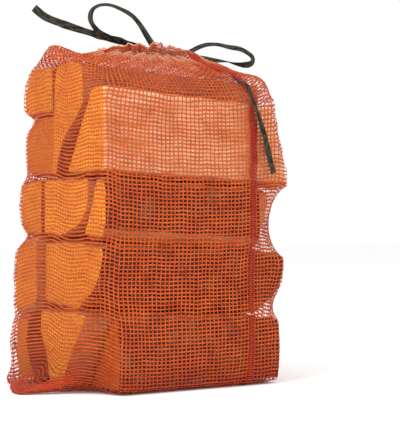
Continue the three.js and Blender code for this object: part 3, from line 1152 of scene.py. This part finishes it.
    def relax(self, grid: Array) -> None:
        """Lets the net pull itself tight over the logs.

        Each round moves every free crossing half way to the weighted mean of its four neighbours,
        the pull round the bag being the stronger, and then out of any log that it has entered.

        Args:
            grid: the crossings, changed in place. The bottom seam and the neck stay where they are.
        """
        free = slice(1, self.neck_row)
        total = 2 * (self.hoop_pull + self.rise_pull)
        for _ in range(self.rounds):
            beside = np.roll(grid, 1, axis=1) + np.roll(grid, -1, axis=1)
            above_below = (grid[:-2] + grid[2:])[: self.neck_row - 1]
            mean = (self.hoop_pull * beside[free] + self.rise_pull * above_below) / total
            grid[free] += 0.5 * (mean - grid[free])
            inner = grid[free].reshape(-1, 3)
            for log in LOGS:
                push_out(inner, log, self.clearance)
            inner[:, 2] = np.maximum(inner[:, 2], self.floor_gap)
            grid[free] = inner.reshape(grid[free].shape)

    def crumple(self, grid: Array) -> Array:
        """Pleats the gathered cloth and makes its lines waver.

        Where the warps run closer together than they were woven, the spare cloth stands out in
        pleats whose height grows with the square root of that crowding.

        Args:
            grid: the relaxed crossings.

        Returns:
            The finished crossings.
        """
        rows, warps = grid.shape[:2]
        spacing = np.linalg.norm(np.roll(grid, -1, axis=1) - grid, axis=2)
        woven = np.median(spacing[self.bottom_rows + 16])
        crowding = np.maximum(woven / np.maximum(spacing, woven / 4), 1.0)
        for _ in range(6):
            crowding = (np.roll(crowding, 1, axis=1) + crowding + np.roll(crowding, -1, axis=1)) / 3
        normals = grid_normals(grid)
        turn = 2 * math.pi * np.arange(warps) / warps
        phase = self.pleats * turn + 1.1 * np.sin(3 * turn + 1) + 0.7 * np.sin(7 * turn)
        row = np.arange(rows)[:, None]
        above = np.clip((row - (self.bottom_rows + self.side_rows - 6)) / 12, 0, 1)
        height = self.pleat_height * np.sqrt(crowding - 1) * above
        wave = 0.55 + 0.5 * np.sin(phase + 0.04 * row) + 0.25 * np.sin(2.3 * phase + 0.1 * row + 2)
        grid = grid + normals * (height * wave)[..., None]

        cells = np.stack(np.broadcast_arrays(row / 9.0, np.sin(turn) * 5, np.cos(turn) * 5), axis=-1)
        cells = cells.reshape(-1, 3)
        loose = [layered_noise(cells, seed, 2).reshape(rows, warps) for seed in (3, 5, 9)]
        fine = [value_noise(cells * 4.3, seed).reshape(rows, warps) for seed in (13, 15)]
        round_bag = unit(np.roll(grid, -1, axis=1) - np.roll(grid, 1, axis=1))
        up_bag = unit(np.gradient(grid, axis=0))
        moved = grid + round_bag * (self.round_waver[0] * loose[0] + self.round_waver[1] * fine[0])[..., None]
        moved += up_bag * (self.rise_waver[0] * loose[1] + self.rise_waver[1] * fine[1])[..., None]
        moved += normals * (self.lift_waver * np.maximum(loose[2], 0))[..., None]
        rim = np.clip((row - self.neck_row) / self.ruffle_rows, 0, 1)
        uneven = value_noise(np.stack([8 * np.cos(turn), 8 * np.sin(turn), np.zeros(warps)], axis=1), 21)
        ragged, waved, sunk = self.frill
        moved[..., 2] += rim * (ragged * uneven + waved * np.sin(phase * 0.5) - sunk)
        slack = self.slump(moved)
        slack[..., 2] = np.maximum(slack[..., 2], 1.1 * MM)
        return slack

    def slump(self, grid: Array) -> Array:
        """Where the bag is slack: a corner pooled on the floor, an ear above the top left log, and
        full shoulders at the mouth's front and right.

        Every bulge is a direction times a bell curve, exp of minus the squared distance over its
        spread. The pool spreads outwards by its outline's distance from the logs, fading upwards.

        Args:
            grid: the crossings.

        Returns:
            The crossings with their bulges.
        """
        x, y, z = (grid[..., 0] - MIDDLE_X) / MM, grid[..., 1] / MM, grid[..., 2] / MM
        edge = np.interp(y, self.POOL_Y, self.POOL_X) - self.POOL_FROM
        start, blend = self.POOL_BLEND
        share = eased(np.clip((start - x) / blend, 0, 1)) * np.exp(-((z / self.POOL_RISE) ** 2))
        fold = np.sin(y / 5.5) + 0.6 * np.sin(y / 3.1 + 1)
        moves = edge[..., None] * share[..., None] * np.array([1.0, 0.0, 0.0])
        moves[..., 2] += share * np.clip(z / 6, 0, 1) * fold * 1.6
        for centre, spread, move in self.BULGES:
            offset = (np.stack([x, y, z], axis=-1) - centre) / spread
            moves += np.exp(-(offset**2).sum(axis=-1))[..., None] * np.array(move)
        slack = grid + moves * MM
        return self.respace(slack)

    def cover_tape(self) -> None:
        """Folds the ruffle over the right tail where it leaves the knot.

        Near the tape the net moves out along its own normal until it clears the tape, fading with
        the distance beside it and towards the place where the tape comes out.
        """
        line = spline(np.array(TAIL_RIGHT) * MM + (MIDDLE_X, 0, 0), 2 * MM)
        hidden = round(len(line) * self.tail_hidden)
        low = self.bottom_rows + self.side_rows - 8
        part = self.grid[low:]
        normals = grid_normals(self.grid)[low:]
        offset = part[:, :, None] - line[None, None, :hidden]
        nearest = (offset**2).sum(axis=-1).argmin(axis=-1)
        offset = np.take_along_axis(offset, nearest[..., None, None], axis=2)[:, :, 0]
        height = (offset * normals).sum(axis=-1)
        beside = np.sqrt(np.maximum((offset**2).sum(axis=-1) - height**2, 0))
        share = np.clip(1.5 - beside / self.tail_cover, 0, 1) * np.clip((hidden - nearest) / 5, 0, 1)
        share = eased(share) * (np.abs(height) < self.tail_reach)
        share *= np.clip((normals @ np.array([0.2, -0.6, 0.75])) * 3, 0, 1)
        part += normals * (np.maximum(self.tail_room - height, 0) * share)[..., None]

    def respace(self, grid: Array) -> Array:
        """Spreads the rows more evenly along each warp again, from the bottom seam to the neck.

        Args:
            grid: the crossings, changed in place.

        Returns:
            The same crossings.
        """
        part = grid[: self.neck_row + 1]
        steps = np.linalg.norm(np.diff(part, axis=0), axis=2)
        length = np.vstack([np.zeros(self.warps), np.cumsum(steps, axis=0)])
        even = length[-1] * np.linspace(0, 1, len(part))[:, None]
        wanted = length + 0.35 * (even - length)
        for column in range(self.warps):
            for axis in range(3):
                part[:, column, axis] = np.interp(wanted[:, column], length[:, column], part[:, column, axis])
        return grid

    def shape(self) -> None:
        """Works out where every crossing lies."""
        grid = self.first_shape()
        self.relax(grid)
        self.grid = self.crumple(grid)
        self.cover_tape()
        self.normals = grid_normals(self.grid)
        LOG.info("net: %d wefts and %d warps", *self.grid.shape[:2])

    def threads(
        self,
        name: str,
        weft: bool,
        grid: Array,
        normals: Array,
        width: Array,
        depth: Array,
        closed: bool,
        material: bpy.types.Material,
        replaced: Sequence[str] = (),
    ) -> bpy.types.Object:
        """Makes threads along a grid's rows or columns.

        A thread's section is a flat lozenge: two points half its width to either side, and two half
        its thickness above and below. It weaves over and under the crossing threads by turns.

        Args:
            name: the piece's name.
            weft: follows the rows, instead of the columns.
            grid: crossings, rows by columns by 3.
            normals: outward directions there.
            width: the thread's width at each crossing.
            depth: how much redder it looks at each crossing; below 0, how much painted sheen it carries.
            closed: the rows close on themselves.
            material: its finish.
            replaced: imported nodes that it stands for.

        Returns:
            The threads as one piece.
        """
        rows, columns = grid.shape[:2]
        parity = 1 - 2 * ((np.arange(rows)[:, None] + np.arange(columns)) % 2)
        lift = normals * (parity * self.weave * (1 if weft else -1))[..., None]
        centre = grid + lift
        loop = weft and closed
        if loop:
            run = unit(np.roll(grid, -1, axis=1) - np.roll(grid, 1, axis=1))
        else:
            run = unit(np.gradient(grid, axis=1 if weft else 0))
        side = unit(np.cross(normals, run))
        out = unit(np.cross(run, side))
        half = (side * width[..., None] / 2, out * self.thickness / 2)
        ring = np.stack([centre + half[0], centre + half[1], centre - half[0], centre - half[1]], axis=2)
        if not weft:
            ring, centre, depth = ring.transpose(1, 0, 2, 3), centre.transpose(1, 0, 2), depth.T
        threads, steps = ring.shape[:2]
        points = ring.reshape(-1, 3)
        number = np.arange(threads * steps * 4).reshape(threads, steps, 4)
        ahead = np.roll(number, -1, axis=1)
        turned = np.roll(number, -1, axis=2)
        both = np.roll(ahead, -1, axis=2)
        quads = np.stack([number, ahead, both, turned], axis=-1)
        unrolled = strip_map(threads, steps, loop, not loop)
        if loop:
            quads = quads.reshape(-1, 4)
        else:
            quads = np.vstack([quads[:, :-1].reshape(-1, 4), number[:, 0], number[:, -1, ::-1]])
        if faces_inwards(points, np.repeat(centre.reshape(-1, 3), 4, axis=0), quads):
            quads, unrolled = quads[:, ::-1], unrolled[:, ::-1]
        length = np.arange(steps)[None, :, None] * self.thread_step * MM
        own = np.arange(threads)[:, None, None] * self.dye_step
        values = np.stack(np.broadcast_arrays(length, own, depth[:, :, None] + np.zeros(4)), axis=-1)
        dye = {"thread": values.reshape(-1, 3)[quads]}
        return make_piece(name, points, quads, material, replaced, dye, unrolled=unrolled)

    def build(self) -> list[bpy.types.Object]:
        """Builds the net's threads, its side seam and its hem.

        Returns:
            The pieces, wefts first.
        """
        self.shape()
        rows, warps = self.grid.shape[:2]
        steps = (np.arange(rows) * 0.9, np.arange(warps) * 0.9, [0.0])
        cells = np.stack(np.meshgrid(*steps, indexing="ij"), -1).reshape(-1, 3)
        vary = value_noise(cells, 31).reshape(rows, warps)
        row = np.arange(rows)[:, None] + np.zeros(warps)
        last, fade = self.FOOT_ROWS
        foot = np.clip((self.bottom_rows + last - row) / fade, 0, 1) * self.FOOT_DEPTH
        # below the neck the threads turn paler by a painted sheen
        first, fade = self.SHEEN_ROWS
        depth = foot - np.clip((row - self.neck_row + first) / fade, 0, 1)
        ends = np.clip(np.abs(self.normals[..., 0]) * 2 - 0.7, 0, 1)
        first, fade = self.SPREAD_ROWS
        free = 1 + self.SPREAD_GAIN * np.clip((row - self.bottom_rows - self.side_rows + first) / fade, 0, 1)
        first, fade = self.THIN_ROWS
        thin = free - self.THIN_LOSS * np.clip((row - self.neck_row + first) / fade, 0, 1)
        net = NetFinish().material()
        width = self.weft_width * (1 + self.width_spread * vary) * (0.4 + 0.6 * thin)
        wefts = self.threads("net_wefts", True, self.grid, self.normals, width, depth, True, net, ["net_bag"])
        width = self.warp_width * (1 + self.width_spread * vary[:, ::-1]) * thin * (1 - self.END_LOSS * ends)
        warp_piece = self.threads("net_warps", False, self.grid, self.normals, width, depth, True, net)
        others = [warp_piece, self.seam(), self.hem()]
        return [wefts, *others]

    def between(self, rows: Array, columns: Array, lift: float) -> tuple[Array, Array]:
        """A patch of the net at rows and columns between its crossings.

        Args:
            rows: row numbers, which may be fractions.
            columns: column numbers.
            lift: how far the patch lies off the net.

        Returns:
            The patch's places and its outward directions.
        """
        low = np.floor(rows).astype(int)
        high = np.minimum(low + 1, len(self.grid) - 1)
        left = np.floor(columns).astype(int)
        up, over = (rows - low)[:, None, None], (columns - left)[None, :, None]

        def sample(values: Array) -> Array:
            """Mixes the four crossings round each place."""
            a, b = values[low][:, left % self.warps], values[low][:, (left + 1) % self.warps]
            c, d = values[high][:, left % self.warps], values[high][:, (left + 1) % self.warps]
            return (a * (1 - over) + b * over) * (1 - up) + (c * (1 - over) + d * over) * up

        normals = unit(sample(self.normals))
        return sample(self.grid) + normals * lift, normals

    def seam(self) -> bpy.types.Object:
        """Builds the side seam on the front: a narrow second layer, sewn close.

        Returns:
            The seam, redder and wider in its upper part.
        """
        red, pink = (0.58, 0.050, 0.012), (0.66, 0.09, 0.025)
        finish = NetFinish(name="net_seam", orange=red, light=pink, alpha=0.82)
        side = self.grid[self.bottom_rows + self.SEAM_ROW]
        column = int(np.argmin(np.abs(side[:, 0] - self.seam_x) + np.where(side[:, 1] > 0, 1.0, 0.0)))
        rows = np.arange(0, self.neck_row, 0.5)
        columns = column + np.linspace(-self.SEAM_HALF, self.SEAM_HALF, self.SEAM_THREADS)
        grid, normals = self.between(rows, columns, self.SEAM_LIFT)
        across = unit(np.gradient(grid, axis=1))
        grid = grid + across * (self.SEAM_SWAY * np.sin(rows * 0.9))[:, None, None]
        upper, faded = (
            np.clip((grid[..., 2] - start) / fade, 0, 1) for start, fade in (self.SEAM_RED, self.SEAM_FADED)
        )
        depth = 0.5 + 0.5 * upper - 0.5 * faded
        width = (self.SEAM_WIDTH[0] + self.SEAM_WIDTH[1] * upper) * MM
        return self.threads("net_side_seam", True, grid, normals, width, depth, False, finish.material())

    def hem(self) -> bpy.types.Object:
        """Builds the hem round the mouth: the ruffle's top turned down over itself.

        Returns:
            The hem.
        """
        finish = NetFinish(name="net_hem", alpha=0.85)
        last = len(self.grid) - 1
        rows = np.linspace(last, last - self.HEM_ROWS, self.HEM_THREADS)
        grid, normals = self.between(rows, np.arange(self.warps), self.HEM_LIFT)
        depth = np.full(grid.shape[:2], self.HEM_DEPTH)
        width = np.full(grid.shape[:2], self.HEM_WIDTH)
        return self.threads("net_hem", True, grid, normals, width, depth, True, finish.material())


def grid_normals(grid: Array) -> Array:
    """Outward directions on a grid that closes round the bag.

    Each is square to the line between the neighbours beside and to the line between those above
    and below.
    """
    beside = np.roll(grid, -1, axis=1) - np.roll(grid, 1, axis=1)
    return unit(np.cross(beside, np.gradient(grid, axis=0)))


def hull_sides(points: Array) -> tuple[Array, Array]:
    """The half planes that bound flat points' convex hull.

    An edge between two points is on the hull when no other point lies beyond its line.

    Args:
        points: corners, n by 2, counterclockwise.

    Returns:
        Outward normals, and each line's distance along its own normal.
    """
    ahead = points[None, :] - points[:, None]
    size = np.maximum(np.linalg.norm(ahead, axis=2), 1e-9)
    normals = np.stack([ahead[..., 1], -ahead[..., 0]], axis=-1) / size[..., None]
    offsets = (normals * points[:, None]).sum(axis=2)
    beyond = (normals @ points.T).max(axis=2) - offsets
    first, second = np.nonzero((beyond < 1e-6) & (size > 1e-6))
    return normals[first, second], offsets[first, second]


END_REACH = 30 * MM  # how far past its ends a log may still push the net


def push_out(points: Array, log: SplitLog, margin: float) -> None:
    """Moves points out of a log's hull, to a margin from the face that they are least far behind.

    Args:
        points: places, changed in place.
        log: the log.
        margin: distance to keep.
    """
    corners = log.outline(None)[0] * MM
    normals, offsets = hull_sides(corners)
    middle_y, bottom_z, middle_z = (value * MM for value in log.frame_numbers())
    left, right = log.left * MM + MIDDLE_X, log.right * MM + MIDDLE_X
    reach = END_REACH + margin
    low = np.array([left - reach, corners[:, 0].min() - margin, corners[:, 1].min() - log.drop * MM - margin])
    high = np.array([right + reach, corners[:, 0].max() + margin, corners[:, 1].max() + margin])
    near = np.flatnonzero(((points > low) & (points < high)).all(axis=1))
    if not len(near):
        return
    x, y, z = points[near].T
    along = np.clip((x - left) / (right - left), 0, 1)
    scale = 1 + log.taper * along
    flat_z = bottom_z + (z + log.drop * MM * along - bottom_z) / scale
    flat = np.stack([middle_y + (y - middle_y) / scale, flat_z], 1)
    beyond = flat @ normals.T - offsets
    nearest = beyond.argmax(axis=1)
    side = beyond.max(axis=1)
    past_left = left + log.lean_left * (flat[:, 1] - middle_z) - x
    past_right = x - right - log.lean_right * (flat[:, 1] - middle_z)
    past = np.maximum(past_left, past_right)
    deep = np.maximum(side, past) < margin
    by_side = deep & (side >= past)
    by_end = deep & ~by_side
    points[near[by_side], 1:] += ((margin - side)[:, None] * normals[nearest])[by_side]
    direction = np.where(past_left > past_right, -1.0, 1.0)
    points[near[by_end], 0] += (direction * (margin - past))[by_end]


# ---- drawstring ------------------------------------------------------------------------------


class FarEnd(Enum):
    """Where a free stretch of the tape ends."""

    CUT = "bare"
    KNOT = "object"


@dataclass(frozen=True)
class Tape:
    """One stretch of flat tape along a route.

    The route is in millimetres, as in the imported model. face is the direction that the flat side
    looks in, and roll turns it about the route, in degrees from its start to its end.
    """

    name: str
    route: tuple[tuple[float, float, float], ...]
    face: tuple[float, float, float]
    roll: tuple[float, ...] = (0.0, 0.0)
    width: float = 9.0 * MM
    narrowing: tuple[float, ...] = (1.0, 1.0)
    thickness: float = 1.1 * MM
    cup: float = 0.12
    far_end: FarEnd | None = None
    step: float = 1.5 * MM

    AROUND: ClassVar[int] = 16  # points round the section
    SQUARENESS: ClassVar[float] = 0.5  # power that fills out the section's round edges
    WOBBLE: ClassVar[float] = 0.16  # how much the width varies
    WOBBLES: ClassVar[float] = 18  # how often, along a stretch
    SIDE_SHARE: ClassVar[float] = 0.94  # of the flat map's height, for the tape's side
    END_START: ClassVar[float] = 0.95  # where the end faces start on the flat map
    END_SHARE: ClassVar[float] = 0.04  # and how much of it they take

    def line(self) -> Array:
        """The tape's centreline."""
        return spline(np.array(self.route) * MM + (MIDDLE_X, 0, 0), self.step)

    def flat_map(self, rows: int, columns: int, caps: int) -> Array:
        """The tape's flat map: the side unrolled, and the end faces above it.

        Args:
            rows: sections along the stretch.
            columns: points round a section.
            caps: faces on both ends.

        Returns:
            Two numbers for every corner of every quad.
        """
        row, column = np.divmod(np.arange((rows - 1) * columns), columns)
        step = np.array([[0, 0], [0, 1], [1, 1], [1, 0]])
        size = np.array([rows - 1, columns / self.SIDE_SHARE])
        page = (np.stack([row, column], axis=1)[:, None] + step) / size
        ends = self.END_START + self.END_SHARE * (np.arange(caps)[:, None, None] + step) / (caps, 1.0)
        return np.vstack([page, ends])

    def build(self, material: bpy.types.Material) -> bpy.types.Object:
        """Builds the stretch: a flat section with round edges, carried along the route.

        The section's points lie at half the width times a power of their angle's cosine and half
        the thickness times its sine, and the edges are lifted by the cup. The flat side turns by
        the roll, and the width varies with the narrowing and a slow noise.

        Args:
            material: the tape's finish.

        Returns:
            The finished piece.
        """
        line = self.line()
        share = np.linspace(0, 1, len(line))
        run = unit(np.gradient(line, axis=0))
        facing = unit(np.array(self.face) - run * (run @ np.array(self.face))[:, None])
        for _ in range(12):
            facing[1:-1] = facing[:-2] + 2 * facing[1:-1] + facing[2:]
            facing = unit(facing - run * (facing * run).sum(axis=1, keepdims=True))
        side = np.cross(facing, run)
        roll = np.radians(np.interp(share, np.linspace(0, 1, len(self.roll)), self.roll))[:, None]
        across, up = np.cos(roll), np.sin(roll)
        facing, side = facing * across + side * up, side * across - facing * up
        narrow = np.interp(share, np.linspace(0, 1, len(self.narrowing)), self.narrowing)[:, None]
        angle = np.linspace(0, 2 * math.pi, self.AROUND, endpoint=False)
        rounded = np.sign(np.cos(angle)) * np.abs(np.cos(angle)) ** self.SQUARENESS
        across = rounded * self.width / 2 * narrow
        cells = np.stack([share * self.WOBBLES, share * 0, share * 0], 1)
        wobble = 1 + self.WOBBLE * value_noise(cells, len(self.name))[:, None]
        up = np.sin(angle) * self.thickness / 2 + self.cup * (np.abs(across) ** 2) / (self.width / 2)
        points = line[:, None] + side[:, None] * (across * wobble)[..., None]
        points += facing[:, None] * up[..., None]
        rows, columns = points.shape[:2]
        half = np.arange(columns // 2 - 1)
        cap = np.stack([half, half + 1, columns - 2 - half, columns - 1 - half], axis=1)
        quads = np.vstack([grid_faces(rows, columns, closed=True), cap[:, ::-1], (rows - 1) * columns + cap])
        unrolled = self.flat_map(rows, columns, 2 * len(cap))
        flat = points.reshape(-1, 3)
        if faces_inwards(flat, np.repeat(line, columns, axis=0), quads):
            quads, unrolled = quads[:, ::-1], unrolled[:, ::-1]
        travelled = np.arange(rows)[:, None] * self.step + np.zeros(columns)
        weave = np.stack([travelled, across, np.zeros((rows, columns))], -1).reshape(-1, 3)
        values = {"weave": weave[quads]}
        piece = make_piece(
            self.name + "_tape", flat, quads, material, [self.name], values, unrolled=unrolled
        )
        return piece


LOOP_LEFT = (
    (-7, 1, 410), (-34, 2, 419), (-65, 3.7, 427), (-77, 4.2, 434), (-84.5, 4.6, 445), (-83, 4.5, 456),
    (-75, 4.1, 462.5), (-61, 3.5, 465), (-45, 2.6, 461.5), (-28, 1.8, 454), (-17, 1.3, 443.5),
    (-7, 1, 430), (5.5, 1, 414),
)
LOOP_RIGHT = (
    (17, 1, 412.5), (33, -3, 410), (49, -6.5, 412.5), (58, -8.5, 417.5), (66.8, -10.6, 421.6),
    (75.5, -12.6, 424), (88.7, -15.7, 424.4), (102, -18.8, 422), (118, -22.6, 420), (127, -24.7, 416),
    (134, -26.4, 410.4), (134.2, -26.3, 405), (131, -25.6, 402), (124.4, -24, 400.8), (111, -20.9, 402),
    (97.6, -17.8, 404.2), (84.3, -14.7, 405), (71, -10, 406), (50, -1, 408.5), (34, 3, 407.5),
    (19.5, 4, 405.5),
)
TAIL_LEFT = (
    (2.5, 7.5, 409.5), (-10, 12, 417), (-27, 15.5, 422), (-37, 18, 424.5), (-55, 22.5, 428), (-73, 28.4, 433),
    (-91, 34.2, 438), (-108, 40, 443.5), (-126, 45.7, 450.5), (-139, 50, 461),
)
TAIL_RIGHT = (
    (15, -4.5, 411), (26, -10, 411.5), (40, -17, 408.5), (54, -24, 403), (64, -32, 397.5), (70, -43, 392.5),
    (72, -58, 386.5), (69, -76, 379), (67, -92, 371), (68, -108.5, 364), (71, -113.5, 350.3),
    (78.9, -112.5, 336.7), (86.4, -112, 318.8), (92.7, -112, 300.8), (99, -112, 278.5), (105.1, -112, 258.4),
)


def hem_route() -> tuple[tuple[float, float, float], ...]:
    """The tape's run inside the hem: out of the knot, once round the mouth, and back.

    The mouth is two half circles with a straight stretch between them, lower towards the right.

    Returns:
        Points in millimetres.
    """
    middle, straight, radius, height, droop, droop_from = 5, 32, 15.5, 412, 0.3, 20
    points = [(5.0, -6.3, 409.0)]
    for degrees in np.arange(-110, -421, -31):
        cosine, sine = math.cos(math.radians(degrees)), math.sin(math.radians(degrees))
        x = middle + straight * float(np.sign(cosine)) + radius * cosine
        points.append((x, radius * sine, height - droop * max(0.0, x - droop_from)))
    return (*points, (21.0, -10.0, 407.5), (13.0, -7.2, 402.0))


@dataclass
class Drawstring:
    """The tape that gathers the mouth: its run in the hem, the knot, and the bow's four ends."""

    knot_centre: tuple[float, float, float] = (10.0, 2.0, 406.0)
    knot_radius: float = 5.0

    def stretches(self) -> list[Tape]:
        """The tape's stretches, in the order in which they are made."""
        camera_side = (-0.54, -0.84, 0.1)
        return [
            Tape(
                "drawstring_loop_left", LOOP_LEFT, camera_side, (50, 45, 30, 45, 35, 15),
                narrowing=(0.8, 0.85, 0.8, 0.85, 0.8, 0.9), far_end=FarEnd.KNOT,
            ),
            Tape(
                "drawstring_loop_right", LOOP_RIGHT, camera_side, (35, 25, 50, 30, 50, 140, 175, 180),
                narrowing=(0.9, 1.0, 0.95, 1.0, 0.95, 0.9), far_end=FarEnd.KNOT,
            ),
            Tape(
                "drawstring_tail_left", TAIL_LEFT, camera_side, (50, 20, 0, -10),
                narrowing=(0.8, 0.95, 1.0, 1.0), far_end=FarEnd.CUT,
            ),
            Tape(
                "drawstring_tail_right", TAIL_RIGHT, (-0.3, -0.9, 0.5), (20, 10, 10, 20, 15, 10),
                narrowing=(0.5, 0.5, 0.65, 0.8, 0.95), far_end=FarEnd.CUT,
            ),
            Tape(
                "drawstring_hem_run", hem_route(), (0.0, 0.0, 1.0), (90, 90), width=6 * MM, step=1.8 * MM
            ),
            Tape(
                "drawstring_knot", self.knot_route(), (0.2, -1.0, 0.4), (0, 120, 240, 360),
                width=8 * MM, cup=0.05, step=1.0 * MM,
            ),
        ]

    def knot_route(self) -> tuple[tuple[float, float, float], ...]:
        """The knot: a trefoil, whose radius swells and shrinks three times in two turns.

        Returns:
            Points in millimetres.
        """
        turn = np.linspace(0, 2 * math.pi, 40)
        radius = self.knot_radius * (1 + 0.55 * np.cos(3 * turn))
        x, y, z = self.knot_centre
        xs = x + 0.95 * radius * np.cos(2 * turn)
        ys = y + 0.55 * self.knot_radius * np.sin(3 * turn)
        zs = z + 0.8 * radius * np.sin(2 * turn)
        return tuple(zip(xs, ys, zs))

    def build(self) -> list[bpy.types.Object]:
        """Builds every stretch with the same finish."""
        material = TapeFinish().material()
        return [stretch.build(material) for stretch in self.stretches()]


# ---- studio ----------------------------------------------------------------------------------


@dataclass(frozen=True)
class Studio:
    """Pale floor, soft lights and a camera at eye level with the stack's middle."""

    azimuth: float = -33.0
    distance: float = 1.6719 - 0.5446 * MIDDLE_X
    sideways: float = 0.0596 + 0.8387 * MIDDLE_X
    eye_height: float = 0.205
    pitch: float = -0.17
    lens: float = 108.98
    light_distance: float = 2.2
    light_aim: float = 0.2
    floor_half: float = 6.0
    floor_depth: float = -0.0005

    def camera(self) -> None:
        """Makes the camera."""
        turn = math.radians(self.azimuth)
        ahead = np.array([-math.sin(turn), math.cos(turn)])
        right = np.array([math.cos(turn), math.sin(turn)])
        place = right * self.sideways - ahead * self.distance
        data = bpy.data.cameras.new("camera")
        data.lens = self.lens
        data.sensor_width = 36
        camera = bpy.data.objects.new("camera", data)
        camera.location = (*place, self.eye_height)
        camera.rotation_euler = (math.radians(90 + self.pitch), 0, turn)
        bpy.context.collection.objects.link(camera)
        bpy.context.scene.camera = camera

    def light(self, name: str, azimuth: float, elevation: float, size: float, power: float) -> None:
        """Makes one soft light that looks at the stack's middle.

        Args:
            name: its name.
            azimuth: the side it stands on, in degrees.
            elevation: how high it stands, in degrees.
            size: its width in metres.
            power: its power in watts.
        """
        turn, rise, far = math.radians(azimuth), math.radians(elevation), self.light_distance
        data = bpy.data.lights.new(name, "AREA")
        data.size = size
        data.energy = power
        lamp = bpy.data.objects.new(name, data)
        x, y = far * math.sin(turn) * math.cos(rise), -far * math.cos(turn) * math.cos(rise)
        lamp.location = (x, y, self.light_aim + far * math.sin(rise))
        lamp.rotation_euler = (math.radians(90) - rise, 0, turn)
        bpy.context.collection.objects.link(lamp)

    def build(self) -> None:
        """Makes the floor, the lights, the world and the view settings."""
        mesh = bpy.data.meshes.new("floor")
        sides = ((-1, -1), (1, -1), (1, 1), (-1, 1))
        corners = [(x * self.floor_half, y * self.floor_half, self.floor_depth) for x, y in sides]
        mesh.from_pydata(corners, [], [(0, 1, 2, 3)])
        mesh.materials.append(floor_material())
        floor = bpy.data.objects.new("floor", mesh)
        bpy.context.collection.objects.link(floor)
        world = bpy.data.worlds.new("world")
        bpy.context.scene.world = world
        world.use_nodes = True
        background = world.node_tree.nodes["Background"]
        background.inputs[0].default_value = (1.0, 1.0, 1.0, 1.0)
        background.inputs[1].default_value = 1.0
        self.light("key", -75, 38, 1.1, 34)
        self.light("fill", 20, 30, 1.6, 16)
        bpy.context.scene.view_settings.view_transform = "Standard"


def main() -> None:
    """Builds the bundle in order, the camera and the tape first."""
    logging.basicConfig(level=logging.INFO, format="%(name)s %(message)s")
    Studio().camera()
    Drawstring().build()
    wood = LogFinish().material()
    for log in LOGS:
        log.build(wood)
    net = NetBag()
    pieces = net.build()
    LOG.info("net pieces: %s", ", ".join(piece.name for piece in pieces))
    Studio().build()


if __name__ == "__main__":
    main()
